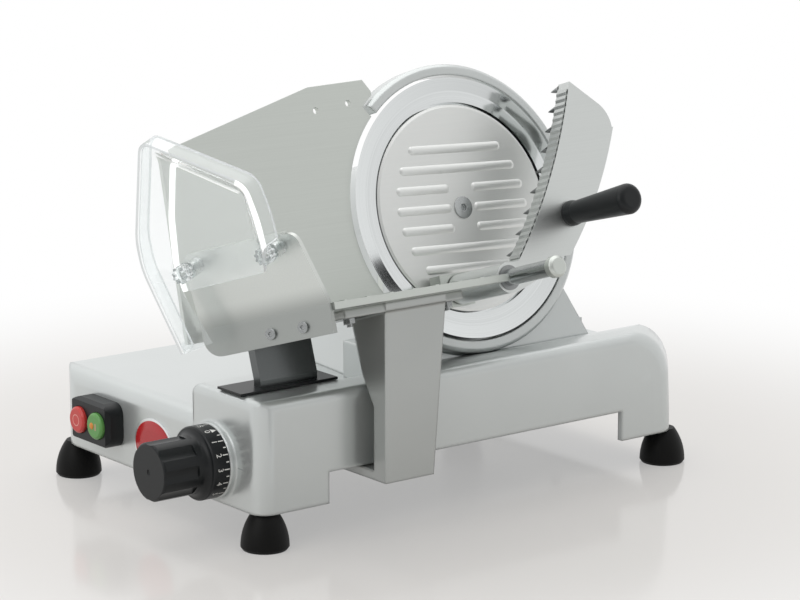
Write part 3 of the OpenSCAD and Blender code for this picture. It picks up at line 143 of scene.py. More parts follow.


# The end plate's bent foot is painted darker in a smooth band: painted shade for the dark it would mirror, so it
# is the darkest part
def bentPlate():
    look = {"from": -3, "to": 15, "foot": "#a2a5a2"}
    material = anodisedAluminium("anodised_aluminium_painted_foot_shade", "#d2d5d1", "#c8cbc7", 0.36)
    tree = material.node_tree
    shader = next(n for n in tree.nodes if n.type == "BSDF_PRINCIPLED")
    place = addNode(tree, "TexCoord").outputs["Object"]
    local = addNode(tree, "Mapping", {"Vector": place, "Location": endFrame.to_translation(),
                    "Rotation": endFrame.to_euler()}, vector_type="TEXTURE")
    up = addNode(tree, "SeparateXYZ", {"Vector": local.outputs["Vector"]})
    share = addNode(tree, "MapRange", {"Value": up.outputs["Y"], "From Min": look["from"] * mm,
                    "From Max": look["to"] * mm}, interpolation_type="SMOOTHSTEP")
    plain = shader.inputs["Base Color"].links[0].from_socket
    # painted shade: the plate's own colour turns to the darker foot colour towards the bottom
    tone = addNode(tree, "Mix", {"Factor": share.outputs["Result"], "A": srgb(look["foot"]), "B": plain},
                   data_type="RGBA")
    tree.links.new(tone.outputs["Result"], shader.inputs["Base Color"])
    return material


# Hardened stainless steel, ground in circles and polished: nearly a mirror, with fine turning lines
def polishedBlade():
    look = {"light": "#dfe2e2", "dark": "#d3d6d6", "line": 1.2}
    material, tree, shader = newMaterial("polished_stainless_steel", **{"Metallic": 1.0, "Roughness": 0.1})
    place = addNode(tree, "TexCoord").outputs["Object"]
    centred = addNode(tree, "Mapping", {"Vector": place, "Location": bladeCentre,
                      "Rotation": (bladeTurn, 0, 0)}, vector_type="TEXTURE")
    flat = addNode(tree, "VectorMath", {0: centred.outputs["Vector"], 1: (1, 1, 0)}, operation="MULTIPLY")
    radius = addNode(tree, "VectorMath", {0: flat.outputs["Vector"]}, operation="LENGTH")
    line = addNode(tree, "TexNoise", {"W": radius.outputs["Value"], "Scale": perMetre(look["line"]),
                   "Detail": 2.0}, noise_dimensions="1D")
    tone = addNode(tree, "Mix", {"Factor": line.outputs["Fac"], "A": srgb(look["dark"]),
                   "B": srgb(look["light"])}, data_type="RGBA")
    rough = addNode(tree, "MapRange", {"Value": line.outputs["Fac"], "To Min": 0.06, "To Max": 0.14})
    tree.links.new(tone.outputs["Result"], shader.inputs["Base Color"])
    tree.links.new(rough.outputs["Result"], shader.inputs["Roughness"])
    return material


# Drawn steel bar, ground and plated: dark, sharp reflections
def groundSteel(name, light, dark, roughness):
    look = {"grain": 1.4}
    material, tree, shader = newMaterial(name, **{"Metallic": 1.0, "Roughness": roughness})
    place = addNode(tree, "TexCoord").outputs["Object"]
    grain = addNode(tree, "TexNoise", {"Vector": place, "Scale": perMetre(look["grain"]), "Detail": 4.0})
    tone = addNode(tree, "Mix", {"Factor": grain.outputs["Fac"], "A": srgb(dark), "B": srgb(light)},
                   data_type="RGBA")
    rough = addNode(tree, "MapRange", {"Value": grain.outputs["Fac"], "To Min": roughness - 0.04,
                    "To Max": roughness + 0.06})
    tree.links.new(tone.outputs["Result"], shader.inputs["Base Color"])
    tree.links.new(rough.outputs["Result"], shader.inputs["Roughness"])
    return material


# Moulded plastic or rubber with a fine spark-eroded grain
def mouldedGrain(name, light, dark, roughness, grain, depth, shine=0.5):
    material, tree, shader = newMaterial(name, **{"Roughness": roughness, "IOR": 1.5,
                                         "Specular IOR Level": shine})
    place = addNode(tree, "TexCoord").outputs["Object"]
    speck = addNode(tree, "TexNoise", {"Vector": place, "Scale": perMetre(grain), "Detail": 3.0})
    tone = addNode(tree, "Mix", {"Factor": speck.outputs["Fac"], "A": srgb(dark), "B": srgb(light)},
                   data_type="RGBA")
    rough = addNode(tree, "MapRange", {"Value": speck.outputs["Fac"], "To Min": roughness - 0.06,
                    "To Max": roughness + 0.06})
    bump = addNode(tree, "Bump", {"Height": speck.outputs["Fac"], "Strength": 0.25, "Distance": depth * mm})
    tree.links.new(tone.outputs["Result"], shader.inputs["Base Color"])
    tree.links.new(rough.outputs["Result"], shader.inputs["Roughness"])
    tree.links.new(bump.outputs["Normal"], shader.inputs["Normal"])
    return material


# Clear moulded plastic: colourless, sharp reflections, a faint ripple, and it lets the lamps through.
# A thin sheet hardly bends what is seen through it. Its emission is a painted glow, not a lamp, set on for the
# folds and cut edges to paint their bright lines
def clearPlastic(name, tint, ripple, clear, bend, paintedGlow):
    material, tree, shader = newMaterial(name, **{"Base Color": srgb(tint), "Roughness": 0.03, "IOR": bend,
                                         "Transmission Weight": clear, "Coat Weight": 1.0,
                                         "Coat Roughness": 0.02, "Coat IOR": 1.55,
                                         "Emission Color": (1, 1, 1, 1), "Emission Strength": paintedGlow})
    place = addNode(tree, "TexCoord").outputs["Object"]
    wave = addNode(tree, "TexNoise", {"Vector": place, "Scale": perMetre(ripple), "Detail": 1.0})
    bump = addNode(tree, "Bump", {"Height": wave.outputs["Fac"], "Strength": 0.06, "Distance": 0.5 * mm})
    tree.links.new(bump.outputs["Normal"], shader.inputs["Normal"])
    tree.links.new(bump.outputs["Normal"], shader.inputs["Coat Normal"])
    through = addNode(tree, "BsdfTransparent", {"Color": (0.94, 0.96, 0.96, 1)})
    shadow = addNode(tree, "LightPath").outputs["Is Shadow Ray"]
    both = addNode(tree, "MixShader", {0: shadow, 1: shader.outputs[0], 2: through.outputs[0]})
    output = next(n for n in tree.nodes if n.type == "OUTPUT_MATERIAL")
    tree.links.new(both.outputs[0], output.inputs["Surface"])
    return material


finishes = {
    "cast_aluminium": smoothCasting("satin_cast_aluminium", "#cbcfce", "#c3c7c6", 2.5),
    "satin_aluminium": anodisedAluminium("anodised_aluminium", "#cdd1cc", "#c3c7c2", 0.4),
    "blade_steel": polishedBlade(),
    "bright_steel": groundSteel("ground_steel", "#b9bcbc", "#a3a6a6", 0.14),
    "screw_steel": groundSteel("zinc_plated_steel", "#b0b2b2", "#8d9090", 0.26),
    "black_rubber": mouldedGrain("moulded_rubber", "#121211", "#0b0b0b", 0.5, 1.0, 0.1, 0.16),
    "black_plastic": mouldedGrain("moulded_abs", "#191c1e", "#111415", 0.36, 0.6, 0.05, 0.3),
    "clear_plastic": clearPlastic("clear_polycarbonate", "#fbfdfd", 25, 0.92, 1.06, 0),
    "pale_plastic": clearPlastic("clear_acrylic", "#e4e8e8", 9, 0.96, 1.49, 0),
    "red_plastic": mouldedGrain("red_polycarbonate", "#c8413d", "#bd3733", 0.3, 1.5, 0.03),
    "green_plastic": mouldedGrain("green_polycarbonate", "#5f9a50", "#568f48", 0.3, 1.5, 0.03),
    "bronze": groundSteel("bearing_bronze", "#a97f4c", "#8f6a3c", 0.3),
    "motor_paint": mouldedGrain("motor_enamel", "#5a6068", "#4d535b", 0.4, 1.2, 0.05),
}
# The guard's folds: near-white, half clear and glowing, a painted highlight and painted glow for the bright lines
# of the folds
foldFinishPaintedHighlight = clearPlastic("clear_polycarbonate_painted_highlight_fold", "#fdfefe", 25, 0.5, 1.06, 0.42)
# The guard's rim edges: grey, a painted edge line, with a faint painted glow
edgeFinishPaintedLine = clearPlastic("clear_polycarbonate_painted_edge_line", "#9da3a4", 25, 0.3, 1.06, 0.3)
# The gauge support is bright steel given a dark colour: a painted dark reflection of its shaded surroundings
supportFinishPaintedReflection = groundSteel("steel_with_painted_dark_reflection", "#6a6d6d", "#5c5f5f", 0.22)
baseFinish = smoothCasting("satin_cast_aluminium_base", "#cdd1d0", "#c5c9c8", 3.6)
# The arm is the base's cast aluminium painted a little darker: painted shade for the arm lying under the carriage
# table
armFinishPaintedShade = smoothCasting("satin_cast_aluminium_arm_painted_shade", "#b7bab8", "#afb2b0", 2.5)
stripFinish = groundSteel("stamped_steel", "#cdd0ce", "#b4b7b5", 0.32)
plateFinishPaintedShade = bentPlate()
thornFinish = groundSteel("hardened_steel_pin", "#8b8e8e", "#777a7a", 0.2)
bushFinish = groundSteel("sintered_steel", "#9a9c9c", "#858787", 0.34)
coverFinish = anodisedAluminium("satin_cover_aluminium", "#e4e5e3", "#dddfdd", 0.46)
ringFinish = anodisedAluminium("satin_ring_aluminium", "#d4d7d5", "#cbcecc", 0.36)
whitePrint = mouldedGrain("white_print_ink", "#f2f2ee", "#e6e6e2", 0.5, 0.8, 0.02)
paleRim = groundSteel("pale_badge_rim", "#f0f1f2", "#e4e6e7", 0.3)
redEnamel = mouldedGrain("red_enamel", "#b3262b", "#a92126", 0.2, 3.0, 0.01)
orangeLens = mouldedGrain("amber_lens", "#d98a2b", "#c97a20", 0.2, 1.0, 0.02)
paleMark = mouldedGrain("pale_marking_ink", "#e3a39c", "#dd9a93", 0.45, 0.8, 0.02)
greyPaint = mouldedGrain("grey_marking_paint", "#a3a8a8", "#989d9d", 0.45, 0.8, 0.02)
print("materials made:", len(bpy.data.materials))

nodeFinish = {"blade_cover": coverFinish, "pusher": ringFinish, "gauge_support": supportFinishPaintedReflection,
              "base_casting": baseFinish, "end_plate": plateFinishPaintedShade, "carriage_arm": armFinishPaintedShade,
              "pusher_bush": bushFinish}
for part in frame["record"]["subparts"]:
    name = part["node"]
    finish = nodeFinish.get(name, finishes[part["material_slot"]])
    nodes[name].data.materials.clear()
    nodes[name].data.materials.append(finish)
print("nodes dressed:", len(nodes))

# Edges that casting, pressing or moulding leaves round: width in millimetres for each node
softEdges = {
    "base_casting": 1.4, "blade_housing": 1.0, "motor_hood": 1.5, "carriage_arm": 2.2, "pusher": 1.4,
    "gauge_plate": 0.7, "gauge_support": 0.8, "carriage_table": 0.8, "end_plate": 0.8, "blade_cover": 0.7,
    "slot_cover": 0.4, "dial_knob": 0.9, "switch_housing": 4.5, "stop_button": 0.5, "start_button": 0.5,
    "guard_knobs": 0.7, "guard_spacers": 0.6, "end_plate_screws": 0.3, "cover_screw": 0.4,
    "arm_nuts": 0.3, "arm_bolts": 0.2, "rod_cap": 0.5, "cord_gland": 0.5, "hood_screws": 0.4,
}
rounding = {"join": 0.004, "flat": 0.5, "sharp": 32, "steps": 3}


def softenEdges(piece, width):
    weld = piece.modifiers.new("weld", "WELD")
    weld.merge_threshold = rounding["join"] * mm
    planar = piece.modifiers.new("planar", "DECIMATE")
    planar.decimate_type = "DISSOLVE"
    planar.angle_limit = math.radians(rounding["flat"])
    bevel = piece.modifiers.new("round", "BEVEL")
    bevel.width = width * mm
    bevel.segments = rounding["steps"]
    bevel.limit_method = "ANGLE"
    bevel.angle_limit = math.radians(rounding["sharp"])
    bevel.use_clamp_overlap = True


for name, width in softEdges.items():
    softenEdges(nodes[name], width)
    normals = nodes[name].modifiers.new("normals", "WEIGHTED_NORMAL")
    normals.keep_sharp = True
print("edges softened:", len(softEdges))


def finishPiece(piece, name, material, body):
    piece.name = name
    piece.data.name = name
    piece.data.materials.clear()
    piece.data.materials.append(material)
    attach(piece, body)


# Casting's right end: the front face runs flat to one large arc, so a copy of the casting is trimmed
# and filled there. Both blocks slant back from the front face and fade out where the end turns the corner.
# Across is from the middle of the base, above from the ground, deep from the front face
beamEnd = {"arcMid": (141, 68), "arc": 40, "steps": 18, "start": 2, "foot": (183.4, 27), "band": 17,
           "slant": 0.92, "trim": (-5, 45), "fill": (-0.02, 21), "edge": 7, "edgeSteps": 5, "clear": 60,
           "spare": 5, "touch": 0.05, "corner": 30.95, "cornerMid": (169, 31), "cornerSteps": 8}


def endArc(radius):
    start, steps = beamEnd["start"], beamEnd["steps"]
    turns = [math.radians(start + (90 - start) * step / steps) for step in range(steps + 1)]
    across, above = beamEnd["arcMid"]
    return [(across + radius * math.sin(turn), above + radius * math.cos(turn)) for turn in turns]


def outlineBlock(points, reach):
    bpy.ops.object.select_all(action="DESELECT")
    bpy.ops.mesh.primitive_circle_add(vertices=len(points), fill_type="NGON")
    block = bpy.context.object
    for vertex, point in zip(block.data.vertices, points):
        vertex.co = point
    bpy.ops.object.mode_set(mode="EDIT")
    bpy.ops.mesh.select_all(action="SELECT")
    bpy.ops.mesh.extrude_region_move(TRANSFORM_OT_translate={"value": reach})
    bpy.ops.mesh.select_all(action="SELECT")
    bpy.ops.mesh.normals_make_consistent(inside=False)
    bpy.ops.object.mode_set(mode="OBJECT")
    return block


def slantedBlock(outline, near, far):
    slant = beamEnd["slant"]
    points = [(baseMid.x + (across + slant * near) * mm, castLow.y + near * mm, above * mm)
              for across, above in outline]
    return outlineBlock(points, (slant * (far - near) * mm, (far - near) * mm, 0))


def roundFront(block, line):  # as the beam's own front edge is
    spots = [Vector((baseMid.x + across * mm, castLow.y, above * mm)) for across, above in line]
    bpy.ops.object.mode_set(mode="EDIT")
    bpy.ops.mesh.select_all(action="DESELECT")
    bpy.ops.object.mode_set(mode="OBJECT")
    for edge in block.data.edges:
        ends = [block.data.vertices[i].co for i in edge.vertices]
        edge.select = all(min((end - spot).length for spot in spots) < beamEnd["touch"] * mm for end in ends)
    bpy.ops.object.mode_set(mode="EDIT")
    bpy.ops.mesh.select_mode(type="EDGE")
    bpy.ops.mesh.bevel(offset=beamEnd["edge"] * mm, segments=beamEnd["edgeSteps"])
    bpy.ops.mesh.select_mode(type="VERT")
    bpy.ops.object.mode_set(mode="OBJECT")


def combine(piece, block, way):
    bpy.ops.object.select_all(action="DESELECT")
    piece.select_set(True)
    bpy.context.view_layer.objects.active = piece
    shape = piece.modifiers.new("shape", "BOOLEAN")
    shape.operation = way
    shape.object = block
    shape.solver = "EXACT"
    bpy.ops.object.modifier_apply(modifier="shape")
    bpy.data.objects.remove(block)


outer = endArc(beamEnd["arc"])
inner = endArc(beamEnd["arc"] - beamEnd["band"])
footX, footZ = beamEnd["foot"]
startX, startZ = outer[0]
clear, spare = beamEnd["clear"], beamEnd["spare"]
wide, tall, low = footX + clear, startZ + clear, footZ - clear
near, far = beamEnd["trim"]
outerLine = outer + [(footX, footZ)]

# What is trimmed off: a block with the rounded end taken out of it
endLine = outerLine + [(footX, low)]
endSolid = slantedBlock(endLine + [(startX - spare, low), (startX - spare, startZ)], 0, far + spare)
roundFront(endSolid, endLine)
trimLine = [(startX, low + spare), (wide, low + spare), (wide, tall), (startX, tall)]
trimBlock = slantedBlock(trimLine, near, far)
combine(trimBlock, endSolid, "DIFFERENCE")

# What is filled: a band under the arc, down to the foot
fillLine = outerLine + [(footX - beamEnd["band"], footZ)] + inner[::-1]
fillBlock = slantedBlock(fillLine, *beamEnd["fill"])
roundFront(fillBlock, outerLine)

# The fill ends where the casting's own corner takes over, seen from above
cornerX, cornerY = beamEnd["cornerMid"]
firstTurn = math.atan(1 / beamEnd["slant"])
turns = [firstTurn + (math.pi / 2 - firstTurn) * step / beamEnd["cornerSteps"]
         for step in range(beamEnd["cornerSteps"] + 1)]
cornerLine = [(cornerX + beamEnd["corner"] * math.sin(turn), cornerY - beamEnd["corner"] * math.cos(turn))
              for turn in turns]
frontX = cornerLine[0][0] - beamEnd["slant"] * (cornerLine[0][1] - near)
planLine = [(cornerX - clear, near), (frontX, near)] + cornerLine
planLine += [(cornerLine[-1][0], clear), (cornerX - clear, clear)]
cornerPoints = [(baseMid.x + across * mm, castLow.y + deep * mm, low * mm) for across, deep in planLine]
cornerBlock = outlineBlock(cornerPoints, (0, 0, (tall - low) * mm))
combine(fillBlock, cornerBlock, "INTERSECT")

baseBody = bpy.data.objects.new("base_body", nodes["base_casting"].data.copy())
scene.collection.objects.link(baseBody)
bpy.ops.object.select_all(action="DESELECT")
baseBody.select_set(True)
bpy.context.view_layer.objects.active = baseBody
softenEdges(baseBody, softEdges["base_casting"])
for modifier in [m.name for m in baseBody.modifiers]:
    bpy.ops.object.modifier_apply(modifier=modifier)
combine(baseBody, trimBlock, "DIFFERENCE")
combine(baseBody, fillBlock, "UNION")
bpy.ops.object.shade_smooth_by_angle(angle=math.radians(rounding["sharp"]))
normals = baseBody.modifiers.new("normals", "WEIGHTED_NORMAL")
normals.keep_sharp = True
bpy.ops.object.modifier_apply(modifier="normals")
finishPiece(baseBody, "base_body", baseFinish, "base")
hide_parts("base_casting")
print("base end shaped:", len(baseBody.data.polygons))

# Dial scale: ticks and numbers printed round the flange
dialScale = {"axisFromMid": (0, -79.5, 57), "radius": 26.5, "flangeX": -205.0, "step": 22.5, "shown": 3,
             "last": 15, "longTick": 4.4, "shortTick": 2.4, "tickWide": 0.8, "digitTall": 4.4, "digitX": 7.9,
             "arrow": 3.6, "proud": 0.06, "gap": 0.3, "letter": 1.4, "cuts": 3}


def wrapOnDial(piece, middle):
    # x of the flat piece runs along the dial's axis, y round it
    axis = baseMid + Vector(dialScale["axisFromMid"]) * mm
    start = baseMid.x + dialScale["flangeX"] * mm
    radius = (dialScale["radius"] + dialScale["proud"]) * mm
    for vertex in piece.data.vertices:
        angle = middle + vertex.co.y / radius
        reach = radius + vertex.co.z
        around, up = reach * math.cos(angle), reach * math.sin(angle)
        vertex.co = (start + vertex.co.x, axis.y - around, axis.z + up)


def flatTick(length, width):
    bpy.ops.mesh.primitive_plane_add(size=1)
    tick = bpy.context.object
    tick.scale = (length * mm, width * mm, 1)
    tick.location = (-(dialScale["gap"] + length / 2) * mm, 0, 0)
    bpy.ops.object.transform_apply(location=True, rotation=True, scale=True)
    bpy.ops.object.mode_set(mode="EDIT")
    bpy.ops.mesh.subdivide(number_cuts=dialScale["cuts"])
    bpy.ops.object.mode_set(mode="OBJECT")
    return tick


def flatDigit(text, tall):
    bpy.ops.object.text_add()
    digit = bpy.context.object
    digit.data.body = text
    digit.data.size = tall * mm * dialScale["letter"]  # the font's size for digits of that height
    digit.data.align_x = "CENTER"
    digit.data.align_y = "CENTER"
    digit.data.resolution_u = 3
    digit.rotation_euler = (0, 0, -math.pi / 2)
    bpy.ops.object.convert(target="MESH")
    bpy.ops.object.transform_apply(location=True, rotation=True, scale=True)
    return digit


printed = []
for number in range(dialScale["last"] + 1):
    middle = math.radians((dialScale["shown"] - number) * dialScale["step"])
    bpy.ops.object.select_all(action="DESELECT")
    tick = flatTick(dialScale["longTick"], dialScale["tickWide"] if number else dialScale["arrow"])
    if number == 0:
        for vertex in tick.data.vertices:  # nought has a triangle that points at the machine
            vertex.co.y *= -vertex.co.x / (dialScale["longTick"] * mm)
    wrapOnDial(tick, middle)
    printed.append(tick)
    bpy.ops.object.select_all(action="DESELECT")
    digit = flatDigit(str(number), dialScale["digitTall"])
    for vertex in digit.data.vertices:
        vertex.co.x -= dialScale["digitX"] * mm
    wrapOnDial(digit, middle)
    printed.append(digit)
    if number < dialScale["last"]:
        bpy.ops.object.select_all(action="DESELECT")
        half = flatTick(dialScale["shortTick"], dialScale["tickWide"])
        wrapOnDial(half, middle - math.radians(dialScale["step"] / 2))
        printed.append(half)
bpy.ops.object.select_all(action="DESELECT")
for piece in printed:
    piece.select_set(True)
bpy.context.view_layer.objects.active = printed[0]
bpy.ops.object.join()
finishPiece(printed[0], "dial_scale", whitePrint, "dial")
print("dial scale made")

# Index line on the casting beside the dial
indexLine = {"y": (-114.5, -108), "z": 57, "wide": 1.0, "proud": 0.05, "round": 0.3, "roundSteps": 3}
lineFrom, lineTo = indexLine["y"]
bpy.ops.object.select_all(action="DESELECT")
bpy.ops.mesh.primitive_plane_add(size=1)
index = bpy.context.object
index.scale = (indexLine["wide"] * mm, (lineTo - lineFrom) * mm, 1)
index.rotation_euler = (0, -math.pi / 2, 0)
index.location = (leftEnd - indexLine["proud"] * mm, baseMid.y + (lineFrom + lineTo) / 2 * mm,
                  indexLine["z"] * mm)
bpy.ops.object.transform_apply(location=True, rotation=True, scale=True)
bpy.ops.object.mode_set(mode="EDIT")
bpy.ops.mesh.select_all(action="SELECT")
bpy.ops.mesh.bevel(offset=indexLine["round"] * mm, segments=indexLine["roundSteps"], affect="VERTICES")
bpy.ops.object.mode_set(mode="OBJECT")
finishPiece(index, "index_line", greyPaint, "base")
print("index line made")

# Badge on the left end: a domed red oval in a pale rim, left bare
badge = {"fromMid": (-2.5, 50), "size": (50, 41), "rim": 1.8, "rimThick": 0.84, "rimDome": 0.1, "thick": 1.2,
         "dome": 0.6, "sides": 96, "edge": 0.5, "edgeRise": 0.6, "crown": 0.2, "crownRise": 0.4, "smooth": 40}


def endOval(size, thick, y, z, dome):
    bpy.ops.object.select_all(action="DESELECT")
    bpy.ops.mesh.primitive_circle_add(vertices=badge["sides"], radius=0.5 * mm, fill_type="NGON")
    oval = bpy.context.object
    oval.scale = (size[1], size[0], 1)
    bpy.ops.object.transform_apply(scale=True)
    bpy.ops.object.mode_set(mode="EDIT")
    bpy.ops.mesh.select_all(action="SELECT")
    bpy.ops.mesh.extrude_region_move(TRANSFORM_OT_translate={"value": (0, 0, thick * mm)})
    bpy.ops.mesh.inset(thickness=badge["edge"] * mm)
    bpy.ops.transform.translate(value=(0, 0, dome * badge["edgeRise"] * mm))
    bpy.ops.mesh.inset(thickness=size[1] * badge["crown"] * mm)
    bpy.ops.transform.translate(value=(0, 0, dome * badge["crownRise"] * mm))
    bpy.ops.object.mode_set(mode="OBJECT")
    oval.rotation_euler = (0, -math.pi / 2, 0)
    oval.location = (leftEnd, baseMid.y + y * mm, z * mm)
    bpy.ops.object.transform_apply(location=True, rotation=True, scale=True)
    bpy.ops.object.shade_smooth_by_angle(angle=math.radians(badge["smooth"]))
    return oval


rimOval = endOval(badge["size"], badge["rimThick"], *badge["fromMid"], badge["rimDome"])
finishPiece(rimOval, "badge_rim", paleRim, "base")
redSize = [side - 2 * badge["rim"] for side in badge["size"]]
redOval = endOval(redSize, badge["thick"], *badge["fromMid"], badge["dome"])
finishPiece(redOval, "badge_face", redEnamel, "base")
print("badge made")

# Hand guard: one clear sheet, a flat panel sunk in a raised rim that turns back and runs down into a leg.
# Drawn on the end plate: along it, up it and out of it
guard = {"rim": [(-3, -8), (-8.4, 31), (-11.6, 54.5), (-8.9, 75.1), (19.9, 140.3), (89.3, 95.1), (90.7, 70),
                 (89, 52)],
         "panel": [(20, -7), (9.5, 31), (9.5, 50), (18.5, 83.5), (33, 118), (78, 86.7), (73.6, 72.2), (74, 33)],
         "rimCorner": 8, "panelCorner": 4, "cornerShares": (0, 0.2, 0.4, 0.6, 0.8, 1), "cornerMost": 0.45,
         "thick": 2.6, "lip": (4, 2), "smooth": 40, "touch": 0.01,
         # each fold's share of the way to the panel, and its height
         "fold": [(-1, 16.5), (-0.55, 20.8), (-0.15, 25), (0, 26), (0.06, 26.3), (0.2, 26), (0.32, 24.8),
                  (0.5, 21.8), (0.68, 18.4), (0.84, 15.8), (0.92, 14.9), (1, 14.5)],
         "legStations": 4,  # the stations before the panel starts
         "rightStations": 13, "rimFold": 3, "panelFolds": 3}


def roundedPath(points, corner):
    path = [Vector(points[0])]
    for a, b, c in zip(points, points[1:], points[2:]):
        a, b, c = Vector(a), Vector(b), Vector(c)
        start = b + (a - b).normalized() * min(corner, (a - b).length * guard["cornerMost"])
        end = b + (c - b).normalized() * min(corner, (c - b).length * guard["cornerMost"])
        path += [start * (1 - k) ** 2 + b * 2 * k * (1 - k) + end * k ** 2 for k in guard["cornerShares"]]
    return path + [Vector(points[-1])]


rimPath = roundedPath(guard["rim"], guard["rimCorner"])
panelPath = roundedPath(guard["panel"], guard["panelCorner"])
stations, folds = len(rimPath), len(guard["fold"])
bpy.ops.object.select_all(action="DESELECT")
bpy.ops.mesh.primitive_grid_add(x_subdivisions=stations - 1, y_subdivisions=folds - 1, size=1)
sheet = bpy.context.object
for finish in (finishes["clear_plastic"], foldFinishPaintedHighlight, edgeFinishPaintedLine):
    sheet.data.materials.append(finish)
gridSpot = [(round((vertex.co.x + 0.5) * (stations - 1)), round((vertex.co.y + 0.5) * (folds - 1)))
            for vertex in sheet.data.vertices]  # each point's station and fold
for vertex, (station, fold) in zip(sheet.data.vertices, gridSpot):
    share, out = guard["fold"][fold]
    flat = rimPath[station].lerp(panelPath[station], max(share, 0)) + Vector(guard["lip"]) * max(-share, 0)
    vertex.co = Vector((flat.x, flat.y, out)) * mm
bpy.ops.object.mode_set(mode="EDIT")
bpy.ops.mesh.select_mode(type="FACE")
bpy.ops.object.mode_set(mode="OBJECT")
rimFold = guard["rimFold"]
# Faces along the panel's border at the front, and the rim's fold further back, get the painted-highlight fold
# finish; the rim's fold at the front gets the grey painted edge line
for face in sheet.data.polygons:
    station = min(gridSpot[i][0] for i in face.vertices)
    fold = min(gridSpot[i][1] for i in face.vertices)
    front = station < stations - guard["rightStations"]
    inward = fold >= folds - guard["panelFolds"]
    if (front and inward) or (not front and fold in (rimFold, rimFold + 1)):
        face.material_index = 1
    elif fold == rimFold:
        face.material_index = 2
    face.select = station < guard["legStations"] and inward  # the leg has no panel beside it
bpy.ops.object.mode_set(mode="EDIT")
bpy.ops.mesh.delete(type="FACE")
bpy.ops.mesh.select_mode(type="VERT")
bpy.ops.mesh.select_all(action="DESELECT")
bpy.ops.object.mode_set(mode="OBJECT")
for vertex in sheet.data.vertices:
    vertex.select = vertex.co.z < guard["fold"][-1][1] * mm + guard["touch"] * mm
bpy.ops.object.mode_set(mode="EDIT")
bpy.ops.mesh.edge_face_add()  # the flat panel
sheet.active_material_index = 0
bpy.ops.object.material_slot_assign()
bpy.ops.mesh.select_all(action="SELECT")
bpy.ops.mesh.normals_make_consistent(inside=False)
bpy.ops.object.mode_set(mode="OBJECT")
thick = sheet.modifiers.new("thick", "SOLIDIFY")
thick.thickness = guard["thick"] * mm
thick.offset = 0
# the cut edges get the grey painted edge line
thick.material_offset_rim = 2
bpy.ops.object.modifier_apply(modifier="thick")
sheet.data.transform(endFrame)
bpy.ops.object.shade_smooth_by_angle(angle=math.radians(guard["smooth"]))
sheet.name = sheet.data.name = "hand_guard_sheet"
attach(sheet, "carriage")
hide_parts("hand_guard")
print("hand guard made:", len(sheet.data.polygons))

# Pusher edge: a finely notched steel strip round the inner edge of the plate
edgeStrip = {"arc": (-293, 225), "radius": 400, "from": -46, "to": 72, "pitch": 4.6, "deep": 0.6, "low": 39.4,
             "high": 50.8, "thick": 0.6, "proud": 0.35, "notch": (0, 0.5, 1, 0.5)}
bpy.ops.object.select_all(action="DESELECT")
notchSteps = len(edgeStrip["notch"])
stripSteps = round((edgeStrip["to"] - edgeStrip["from"]) / edgeStrip["pitch"]) * notchSteps
bpy.ops.mesh.primitive_grid_add(x_subdivisions=stripSteps, y_subdivisions=1, size=1)
strip = bpy.context.object
for vertex in strip.data.vertices:
    station = round((vertex.co.x + 0.5) * stripSteps)
    rise = edgeStrip["notch"][station % notchSteps]
    along = edgeStrip["from"] + (edgeStrip["to"] - edgeStrip["from"]) * station / stripSteps
    reach = edgeStrip["radius"] - edgeStrip["proud"] - edgeStrip["deep"] * rise
    across = math.sqrt(reach ** 2 - (along - edgeStrip["arc"][1]) ** 2)
    height = edgeStrip["low"] if vertex.co.y < 0 else edgeStrip["high"]
    vertex.co = Vector((edgeStrip["arc"][0] + across, along, height)) * mm
strip.data.transform(bladeFrame)
thick = strip.modifiers.new("thick", "SOLIDIFY")
thick.thickness = edgeStrip["thick"] * mm
thick.offset = 0
bpy.ops.object.modifier_apply(modifier="thick")
finishPiece(strip, "pusher_strip", stripFinish, "pusher_arm")
print("pusher strip made")

# Pusher thorns: rows of pointed steel pins along the inner edge of the plate
thorn = {"arc": (-293, 225), "rows": [(403, 0, 9), (416, 0.5, 7)],  # radius, share of a pitch, pins
         "start": -42, "pitch": 14.4375, "foot": 39, "sides": 14, "smooth": 50,
         "shape": [(3.7, 0), (3.2, 0.8), (2.6, 3), (1.8, 6.5), (0.9, 10), (0.3, 12)]}  # radius, height
thorns = []
for radius, offset, count in thorn["rows"]:
    for i in range(count):
        bpy.ops.object.select_all(action="DESELECT")
        if not thorns:
            bpy.ops.mesh.primitive_circle_add(vertices=thorn["sides"], radius=thorn["shape"][0][0] * mm,
                                              fill_type="NGON")
            spike = bpy.context.object
            bpy.ops.object.mode_set(mode="EDIT")
            bpy.ops.mesh.select_all(action="SELECT")
            for (wide, low), (narrow, high) in zip(thorn["shape"], thorn["shape"][1:]):
                rise = (0, 0, (high - low) * mm)
                bpy.ops.mesh.extrude_region_move(TRANSFORM_OT_translate={"value": rise})
                bpy.ops.transform.resize(value=(narrow / wide, narrow / wide, 1))
            bpy.ops.mesh.select_all(action="SELECT")
            bpy.ops.mesh.normals_make_consistent(inside=False)
            bpy.ops.object.mode_set(mode="OBJECT")
            bpy.ops.object.shade_smooth_by_angle(angle=math.radians(thorn["smooth"]))
            first = spike.data.copy()  # kept before it is placed
        else:
            thorns[0].select_set(True)
            bpy.context.view_layer.objects.active = thorns[0]
            bpy.ops.object.duplicate()
            spike = bpy.context.object
            spike.data = first.copy()
        along = thorn["start"] + thorn["pitch"] * (i + offset)
        across = thorn["arc"][0] + math.sqrt(radius ** 2 - (along - thorn["arc"][1]) ** 2)
        place = Matrix.Translation(Vector((across, along, thorn["foot"])) * mm)
        spike.data.transform(bladeFrame @ (place @ Matrix.Rotation(math.pi, 4, "X")))  # points at the blade
        thorns.append(spike)
bpy.ops.object.select_all(action="DESELECT")
for spike in thorns:
    spike.select_set(True)
bpy.context.view_layer.objects.active = thorns[0]
bpy.ops.object.join()
finishPiece(thorns[0], "pusher_thorns", thornFinish, "pusher_arm")
print("pusher thorns made:", len(thorns))

